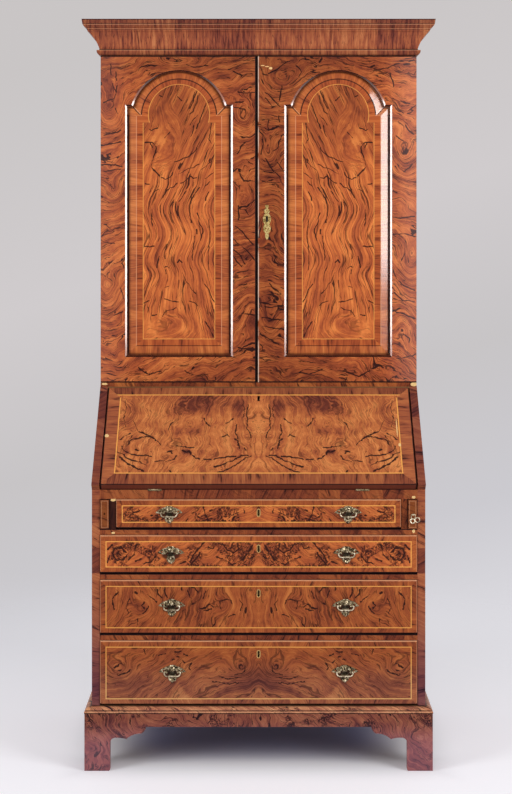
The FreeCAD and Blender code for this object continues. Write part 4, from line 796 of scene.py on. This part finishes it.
RIGHT_LINES = (
    (1.4, 30, 1985, 50, 1995, 70, 2008, 85, 2020), (1.0, 12, 1985, 25, 1980), (1.2, 10, 1965, 15, 1953),
    (1.3, 70, 1945, 65, 1920, 62, 1905), (0.9, 20, 1930, 45, 1905, 65, 1885), (0.8, 20, 1910, 40, 1890),
    (0.9, 30, 1845, 25, 1830, 30, 1815), (0.9, 60, 1860, 62, 1840), (1.2, 10, 1790, 12, 1765, 8, 1745),
    (1.1, 70, 1800, 60, 1780, 55, 1760, 45, 1755), (1.3, 20, 1730, 35, 1710, 45, 1695, 65, 1675),
    (0.9, 55, 1720, 70, 1700), (0.9, 10, 1665, 40, 1660, 65, 1660), (1.3, 20, 1462, 35, 1458),
    (1.2, 30, 1370, 40, 1366), (1.1, 35, 1360, 45, 1345, 60, 1335), (1.2, 5, 1302, 30, 1300, 50, 1295, 75, 1293),
    (1.0, 20, 1293, 40, 1288, 60, 1291), (1.3, 10, 1260, 40, 1253, 75, 1252), (1.1, 10, 1232, 40, 1230, 75, 1222),
    (1.2, 5, 1210, 20, 1200, 45, 1185, 60, 1178), (1.0, 5, 1180, 13, 1172, 8, 1160),
    (1.3, 390, 1985, 398, 1965, 400, 1945), (1.8, 432, 2013, 448, 2011), (0.9, 400, 1910, 420, 1900, 450, 1895),
    (0.8, 400, 1890, 430, 1865), (1.1, 435, 1830, 445, 1815, 462, 1805), (0.9, 410, 1800, 430, 1785),
    (1.3, 455, 1715, 448, 1705, 435, 1695), (1.1, 400, 1635, 410, 1630), (1.2, 400, 1556, 430, 1556, 465, 1560),
    (1.0, 400, 1505, 440, 1508, 465, 1500), (0.9, 435, 1450, 425, 1430),
    (1.3, 400, 1400, 410, 1375, 430, 1355, 465, 1340), (0.9, 400, 1335, 430, 1310, 465, 1305),
    (1.3, 400, 1280, 430, 1270, 465, 1255), (1.0, 430, 1210, 450, 1195, 448, 1185),
    (1.1, 415, 1135, 440, 1142, 468, 1150), (0.9, 300, 2010, 360, 1995, 420, 2015),
    (1.0, 110, 2010, 130, 1990, 120, 1975), (1.0, 330, 1100, 300, 1085, 260, 1095),
    (0.9, 190, 1105, 150, 1090, 120, 1095),
)
paint_door_frame("door_left_frame", 1.0, 1.01, 0.85, 0.76,
                 ((0.04, 1.60, 0.05, 0.06, 0.09), (0.44, 1.87, 0.04, 0.06, 0.10), (0.43, 1.63, 0.03, 0.05, 0.07),
                  (0.45, 1.33, 0.035, 0.06, 0.08), (0.04, 1.85, 0.03, 0.05, 0.07), (0.02, 1.27, 0.035, 0.06, -0.08),
                  (0.23, 2.02, 0.08, 0.02, 0.05)),
                 ((0.03, 1.45, 0.02, 0.12, 0.16), (0.03, 1.60, 0.03, 0.04, 0.20)), LEFT_LINES, 0.03)
paint_door_frame("door_right_frame", 6.0, 1.06, 0.72, 0.79,
                 ((0.07, 1.97, 0.06, 0.05, 0.12), (0.03, 1.55, 0.04, 0.06, -0.08), (0.43, 1.74, 0.035, 0.06, 0.09),
                  (0.45, 1.42, 0.035, 0.06, 0.08), (0.43, 1.24, 0.03, 0.05, -0.08), (0.03, 1.74, 0.03, 0.05, 0.08),
                  (0.03, 1.25, 0.03, 0.05, 0.07)),
                 ((0.03, 1.40, 0.02, 0.15, 0.18), (0.04, 1.72, 0.03, 0.05, 0.15)), RIGHT_LINES, 0.075,
                 (0.80, 0.58, 0.46))
assign(panel_material(), "door_left_panel", "door_right_panel")
assign(bead_material(), "door_left_bead", "door_right_bead")
assign(fall_material(), "fall_board")
# Handle places: distance from the middle and height
HANDLES = ((0.252, 0.7245), (0.247, 0.611), (0.2445, 0.4625), (0.2425, 0.277))
# Bold lines on the four drawer fronts, as on the door frames
D1_LINES = (
    (1.2, 65, 712, 72, 702), (1.5, 110, 722, 106, 708, 112, 700, 122, 700), (1.4, 95, 698, 120, 696),
    (1.1, 152, 752, 155, 735, 148, 715, 143, 700), (1.7, 182, 724, 188, 722), (1.5, 70, 745, 76, 744),
    (1.3, 300, 714, 306, 713), (1.0, 12, 744, 30, 748), (1.3, 40, 686, 58, 684), (1.3, 72, 684, 80, 686),
    (1.3, 288, 684, 296, 684), (1.3, 130, 730, 136, 727), (1.2, 42, 730, 40, 720), (1.2, 335, 728, 352, 722),
    (1.0, 330, 705, 362, 708), (1.3, 198, 704, 204, 700),
)
D2_LINES = (
    (1.3, 60, 635, 55, 620, 70, 608, 90, 618, 100, 635), (1.4, 72, 630, 82, 622),
    (2.2, 155, 637, 170, 620, 185, 600, 192, 585), (1.8, 165, 610, 175, 592, 190, 575),
    (1.5, 345, 630, 350, 605, 365, 590), (1.7, 372, 600, 384, 588, 402, 590, 412, 606, 404, 622, 386, 624, 374, 612),
    (1.3, 388, 602, 398, 606, 394, 612), (1.4, 120, 632, 128, 620, 142, 626),
    (1.8, 35, 604, 45, 590, 62, 582, 76, 576), (1.2, 98, 592, 116, 596), (1.4, 290, 602, 300, 586, 325, 578),
    (1.6, 18, 630, 26, 615), (1.5, 12, 600, 24, 592), (1.6, 205, 585, 222, 580), (1.9, 118, 652, 124, 646),
    (1.7, 154, 651, 160, 646), (2.0, 225, 652, 262, 650), (1.8, 276, 651, 290, 648), (1.8, 412, 632, 424, 620),
    (1.5, 330, 592, 345, 585), (1.5, 420, 598, 424, 582),
)
D3_LINES = (
    (0.6, 75, 465, 78, 475, 90, 478, 108, 474, 110, 462, 105, 450), (1.1, 130, 456, 140, 463, 150, 453, 166, 450),
    (0.9, 135, 449, 155, 446), (1.2, 262, 515, 266, 500, 258, 485), (1.1, 286, 505, 281, 491, 272, 482),
    (1.1, 312, 491, 300, 481, 288, 470), (1.1, 310, 458, 318, 446, 326, 440), (0.9, 322, 470, 330, 460, 322, 452),
    (1.4, 348, 501, 342, 495), (1.4, 35, 456, 37, 440), (1.0, 200, 500, 190, 480, 186, 466),
    (1.1, 170, 500, 180, 511, 212, 516), (1.7, 183, 467, 187, 465), (0.9, 55, 478, 44, 464, 52, 448),
    (1.0, 140, 524, 160, 520, 176, 525), (1.6, 360, 525, 372, 523), (1.3, 216, 504, 214, 520), (1.2, 4, 525, 10, 515),
    (0.8, 120, 430, 122, 410, 130, 402), (0.9, 362, 480, 372, 460, 366, 440), (0.8, 395, 500, 410, 480, 408, 450),
    (0.8, 340, 424, 342, 408), (1.0, 148, 500, 156, 482), (1.2, 45, 522, 56, 520), (0.8, 66, 436, 86, 430),
)
D4_LINES = (
    (1.3, 45, 290, 50, 294, 56, 290, 52, 283), (0.9, 41, 297, 37, 281, 45, 270, 66, 265),
    (0.8, 50, 258, 82, 254, 110, 258), (1.4, 190, 296, 195, 286, 191, 280), (1.2, 198, 320, 210, 323),
    (1.1, 218, 333, 236, 330), (1.4, 224, 317, 230, 317), (1.2, 238, 310, 244, 307), (1.3, 395, 277, 388, 280),
    (0.9, 384, 300, 396, 293, 407, 285), (0.8, 360, 280, 372, 270, 400, 266), (0.7, 50, 245, 90, 240, 130, 246),
    (0.8, 325, 338, 320, 325), (1.0, 206, 300, 214, 305), (0.8, 260, 325, 280, 320),
)
paint_drawer("drawer_1_front", 21.0, 1.06, (0.5, 0.8), 0.05, HANDLES[0], burr_all=0.75, lines=0.8,
             mottle=1.0, band_share=0.76, paths=D1_LINES)
paint_drawer("drawer_2_front", 23.0, 1.10, (0.6, 0.8), 0.05, HANDLES[1],
             burrs=((0.035, 0.055, 0.03, 0.045), (0.085, 0.06, 0.025, 0.04), (0.18, 0.045, 0.022, 0.05),
                    (0.30, 0.05, 0.015, 0.03), (0.39, 0.055, 0.035, 0.04)),
             burr_all=0.8, lines=0.6, band_share=0.78, paths=D2_LINES)
paint_drawer("drawer_3_front", 25.0, 0.80, (1.0, 0.3), 0.07, HANDLES[2],
             eyes=((0.095, 0.082, 0.035, 0.028, 0.05), (0.322, 0.075, 0.035, 0.030, 0.05)),
             smoke=((0.15, 0.06, 0.08, 0.05, 0.12), (0.34, 0.05, 0.03, 0.03, 0.15), (0.19, 0.12, 0.02, 0.02, 0.2)),
             broad=0.7, lines=0.75, mottle=0.9, paths=D3_LINES)
paint_drawer("drawer_4_front", 27.0, 0.73, (0.5, 0.9), 0.06, HANDLES[3],
             eyes=((0.05, 0.106, 0.035, 0.03, 0.05), (0.39, 0.096, 0.035, 0.03, 0.05)),
             smoke=((0.05, 0.108, 0.010, 0.009, 0.2), (0.02, 0.080, 0.055, 0.035, 0.32),
                    (0.09, 0.055, 0.06, 0.022, 0.16), (0.34, 0.050, 0.08, 0.028, 0.22),
                    (0.212, 0.020, 0.022, 0.020, -0.25)),
             broad=0.5, lines=0.7, mottle=0.9, paths=D4_LINES, foot_tint=(1.0, 1.26, 1.95),
             wedges=((0.0, 0.236, 0.9), (0.226, 0.246, 0.75)))
assign(cornice_material(), "cornice")
RAIL_TOPS = (0.178, 0.378, 0.549, 0.675)
assign(banded_material("rail_wood", 33.0, (0.62, 0.62, 0.74),
                       ((-0.410, 0.664, 0.005, 0.003), (0.437, 0.669, 0.004, 0.005), (0.437, 0.7645, 0.005, 0.004)),
                       RAIL_TOPS), "drawer_rails")
assign(banded_material("partition_wood", 34.0, 0.55, ((-0.4096, 0.757, 0.008, 0.004),), (), -0.3), "loper_partitions")
assign(banded_material("junction_wood", 35.0, 0.66, ((HALF_W - 0.008, 1.060, 0.010, 0.006),
                                                     (-HALF_W + 0.012, 1.061, 0.009, 0.003))), "cabinet_bottom")
assign(loper_material(), "loper_left", "loper_right")
assign(side_material("base_side_wood", 41.0, 0.71, 0.55), "base_sides")
assign(side_material("cabinet_side_wood", 43.0, 0.72), "cabinet_sides")
assign(plinth_material("foot_wood", 45.0, (0.55, 0.65, 1.30), (0.58, 0.585, 1.88)), "bracket_feet", "plinth_frieze")
assign(moulding_material(), "plinth_moulding")
WARM_OAK = ((0.42, 0.24, 0.11), (0.21, 0.105, 0.045))
PALE_PINE = ((0.47, 0.27, 0.13), (0.27, 0.13, 0.06))
DARK_FIT = ((0.33, 0.12, 0.04), (0.13, 0.04, 0.014))
assign(plain_wood("oak_lining", 1, *WARM_OAK, 0.6), "drawer_1_box", "drawer_2_box", "drawer_3_box",
       "drawer_4_box", "base_bottom")
assign(plain_wood("oak_boards", 0, *WARM_OAK, 0.55), "shelves", "bureau_top", "cabinet_top")
assign(plain_wood("pine_back", 2, *PALE_PINE, 0.75), "base_back", "cabinet_back")
assign(plain_wood("pine_dust_boards", 0, *PALE_PINE, 0.75), "dust_boards")
assign(plain_wood("fitting_walnut", 0, *DARK_FIT, 0.42), "pigeonhole_boards", "lock_rail", "writing_bed",
       "inner_drawer_left", "inner_drawer_middle", "inner_drawer_right")
PLATE_BRASS = brass_material("plate_brass", (0.72, 0.62, 0.42), (0.26, 0.20, 0.11), (0.020, 0.014, 0.008), 0.0015,
                             rim=(0.62, 0.38, 0.13), hollows=HANDLES)
BAIL_BRASS = brass_material("bail_brass", (0.93, 0.85, 0.66), (0.66, 0.57, 0.40), (0.20, 0.15, 0.09), 0.0003, 90.0)
HINGE_BRASS = brass_material("hinge_brass", (0.50, 0.40, 0.24), (0.32, 0.25, 0.13), (0.09, 0.06, 0.03))
DOOR_BRASS = brass_material("door_brass", (0.90, 0.74, 0.34), (0.66, 0.48, 0.17), (0.20, 0.13, 0.04), 0.0004)
assign(PLATE_BRASS, *[n for n in nodes if n.endswith("_brasses")])
assign(BAIL_BRASS, *[n for n in nodes if "_bail_" in n], "loper_post", "loper_pull")
assign(HINGE_BRASS, "bed_hinge_leaves", "fall_hinge_leaves", "door_pin_plates", "door_left_pins",
       "door_right_pins")
assign(DOOR_BRASS, "door_right_escutcheon")
assign(iron_material(), "fall_lock", "door_right_lock")


# Stage: pale floor that fades into the pale surroundings
FLOOR_RADIUS = 6.0


def floor_material():
    """Pale floor with a painted blue-grey shadow under the case, that glows where it is seen and fades out around."""
    t = Tree("studio_floor")
    x, y, z = t.xyz()
    far = (x * x + y * y).power(0.5)
    cloud = t.noise(t.vec(x, y, z), 1.5, 2.0)
    colour = t.mix(cloud, (0.78, 0.785, 0.84), (0.82, 0.825, 0.88))
    # Painted shadow: dark blue-grey on the floor under the case.
    under = y.step(-0.25, 0.0) * (0.45 - abs(x)).step(0.0, 0.18) * (0.30 - y).step(0.0, 0.1)
    colour = t.mix(under * 0.92, colour, (0.345, 0.395, 0.73))
    clear_of = (abs(x) - 0.49).max(abs(y) - 0.27)
    glow = t.shader("Emission", (0.83, 0.83, 0.88), clear_of.step(-0.12, 0.10) * t.seen() * 0.37)
    lit = t.shader("AddShader", t.shader("BsdfDiffuse", colour), glow)
    return t.end(t.shader("MixShader", far.step(0.7, 2.6), lit, t.shader("BsdfTransparent")))


bpy.ops.mesh.primitive_circle_add(vertices=96, radius=FLOOR_RADIUS, fill_type="NGON", location=(0, 0, -0.0005))
floor = bpy.context.object
floor.name = "studio_floor"
floor.data.materials.append(floor_material())

# Surroundings: even soft light, and a pale grey gradient where they are seen
SKY = ((0.0, (0.73, 0.72, 0.76)), (0.20, (0.60, 0.59, 0.625)), (0.42, (0.575, 0.555, 0.565)),
       (0.66, (0.63, 0.60, 0.61)), (1.0, (0.585, 0.56, 0.56)))
SOFT_LIGHT = (1.0, 0.98, 0.97)
SOFT_STRENGTH = 0.325
sky = Tree("studio", bpy.data.worlds)
bpy.context.scene.world = sky.mat
across, depth, up = sky.xyz("Generated")
gradient = sky.ramp((across * -0.30 + up + 0.30) * (1.0 / 0.45), SKY)
sky.end(sky.shader("MixShader", sky.seen(), sky.shader("Background", SOFT_LIGHT, SOFT_STRENGTH),
                   sky.shader("Background", gradient)), "ShaderNodeOutputWorld")


def softbox(name, place, target, size, power):
    data = bpy.data.lights.new(name, "AREA")
    data.shape = "RECTANGLE"
    data.size, data.size_y = size
    data.energy = power
    data.color = (1.0, 0.98, 0.96)
    lamp = bpy.data.objects.new(name, data)
    bpy.context.scene.collection.objects.link(lamp)
    lamp.location = place
    way = Vector(target) - Vector(place)
    lamp.rotation_euler = way.to_track_quat("-Z", "Y").to_euler()


softbox("left_softbox", (-3.49, -2.5, 2.2), (-1.69, -0.1, 1.9), (1.67, 2.6), 95.0)
softbox("right_softbox", (3.25, -2.5, 2.2), (1.81, 0.12, 1.9), (2.08, 2.6), 112.0)
softbox("front_softbox", (-0.4, -4.6, 3.7), (0.0, 0.0, 1.1), (2.4, 1.2), 25.0)

# Camera at the photograph's place: level, square to the front
CAMERA_DISTANCE = 4.364      # from the bureau's front
CAMERA_HEIGHT = 1.504
FOCAL_PX = 1548.0
IMAGE_W, IMAGE_H = 512.0, 794.0
CENTRE_PX = 258.6
HORIZON_PX = 235.0
SENSOR_MM = 36.0
cam_data = bpy.data.cameras.new("camera")
cam_data.sensor_width = SENSOR_MM
cam_data.lens = FOCAL_PX / IMAGE_H * SENSOR_MM
cam_data.shift_x = (IMAGE_W / 2 - CENTRE_PX) / IMAGE_H
cam_data.shift_y = (HORIZON_PX - IMAGE_H / 2) / IMAGE_H
camera = bpy.data.objects.new("camera", cam_data)
bpy.context.scene.collection.objects.link(camera)
camera.location = (0.0, FRONT_Y - CAMERA_DISTANCE, CAMERA_HEIGHT)
camera.rotation_euler = (math.radians(90.0), 0.0, 0.0)
bpy.context.scene.camera = camera

bpy.context.scene.view_settings.view_transform = "Standard"
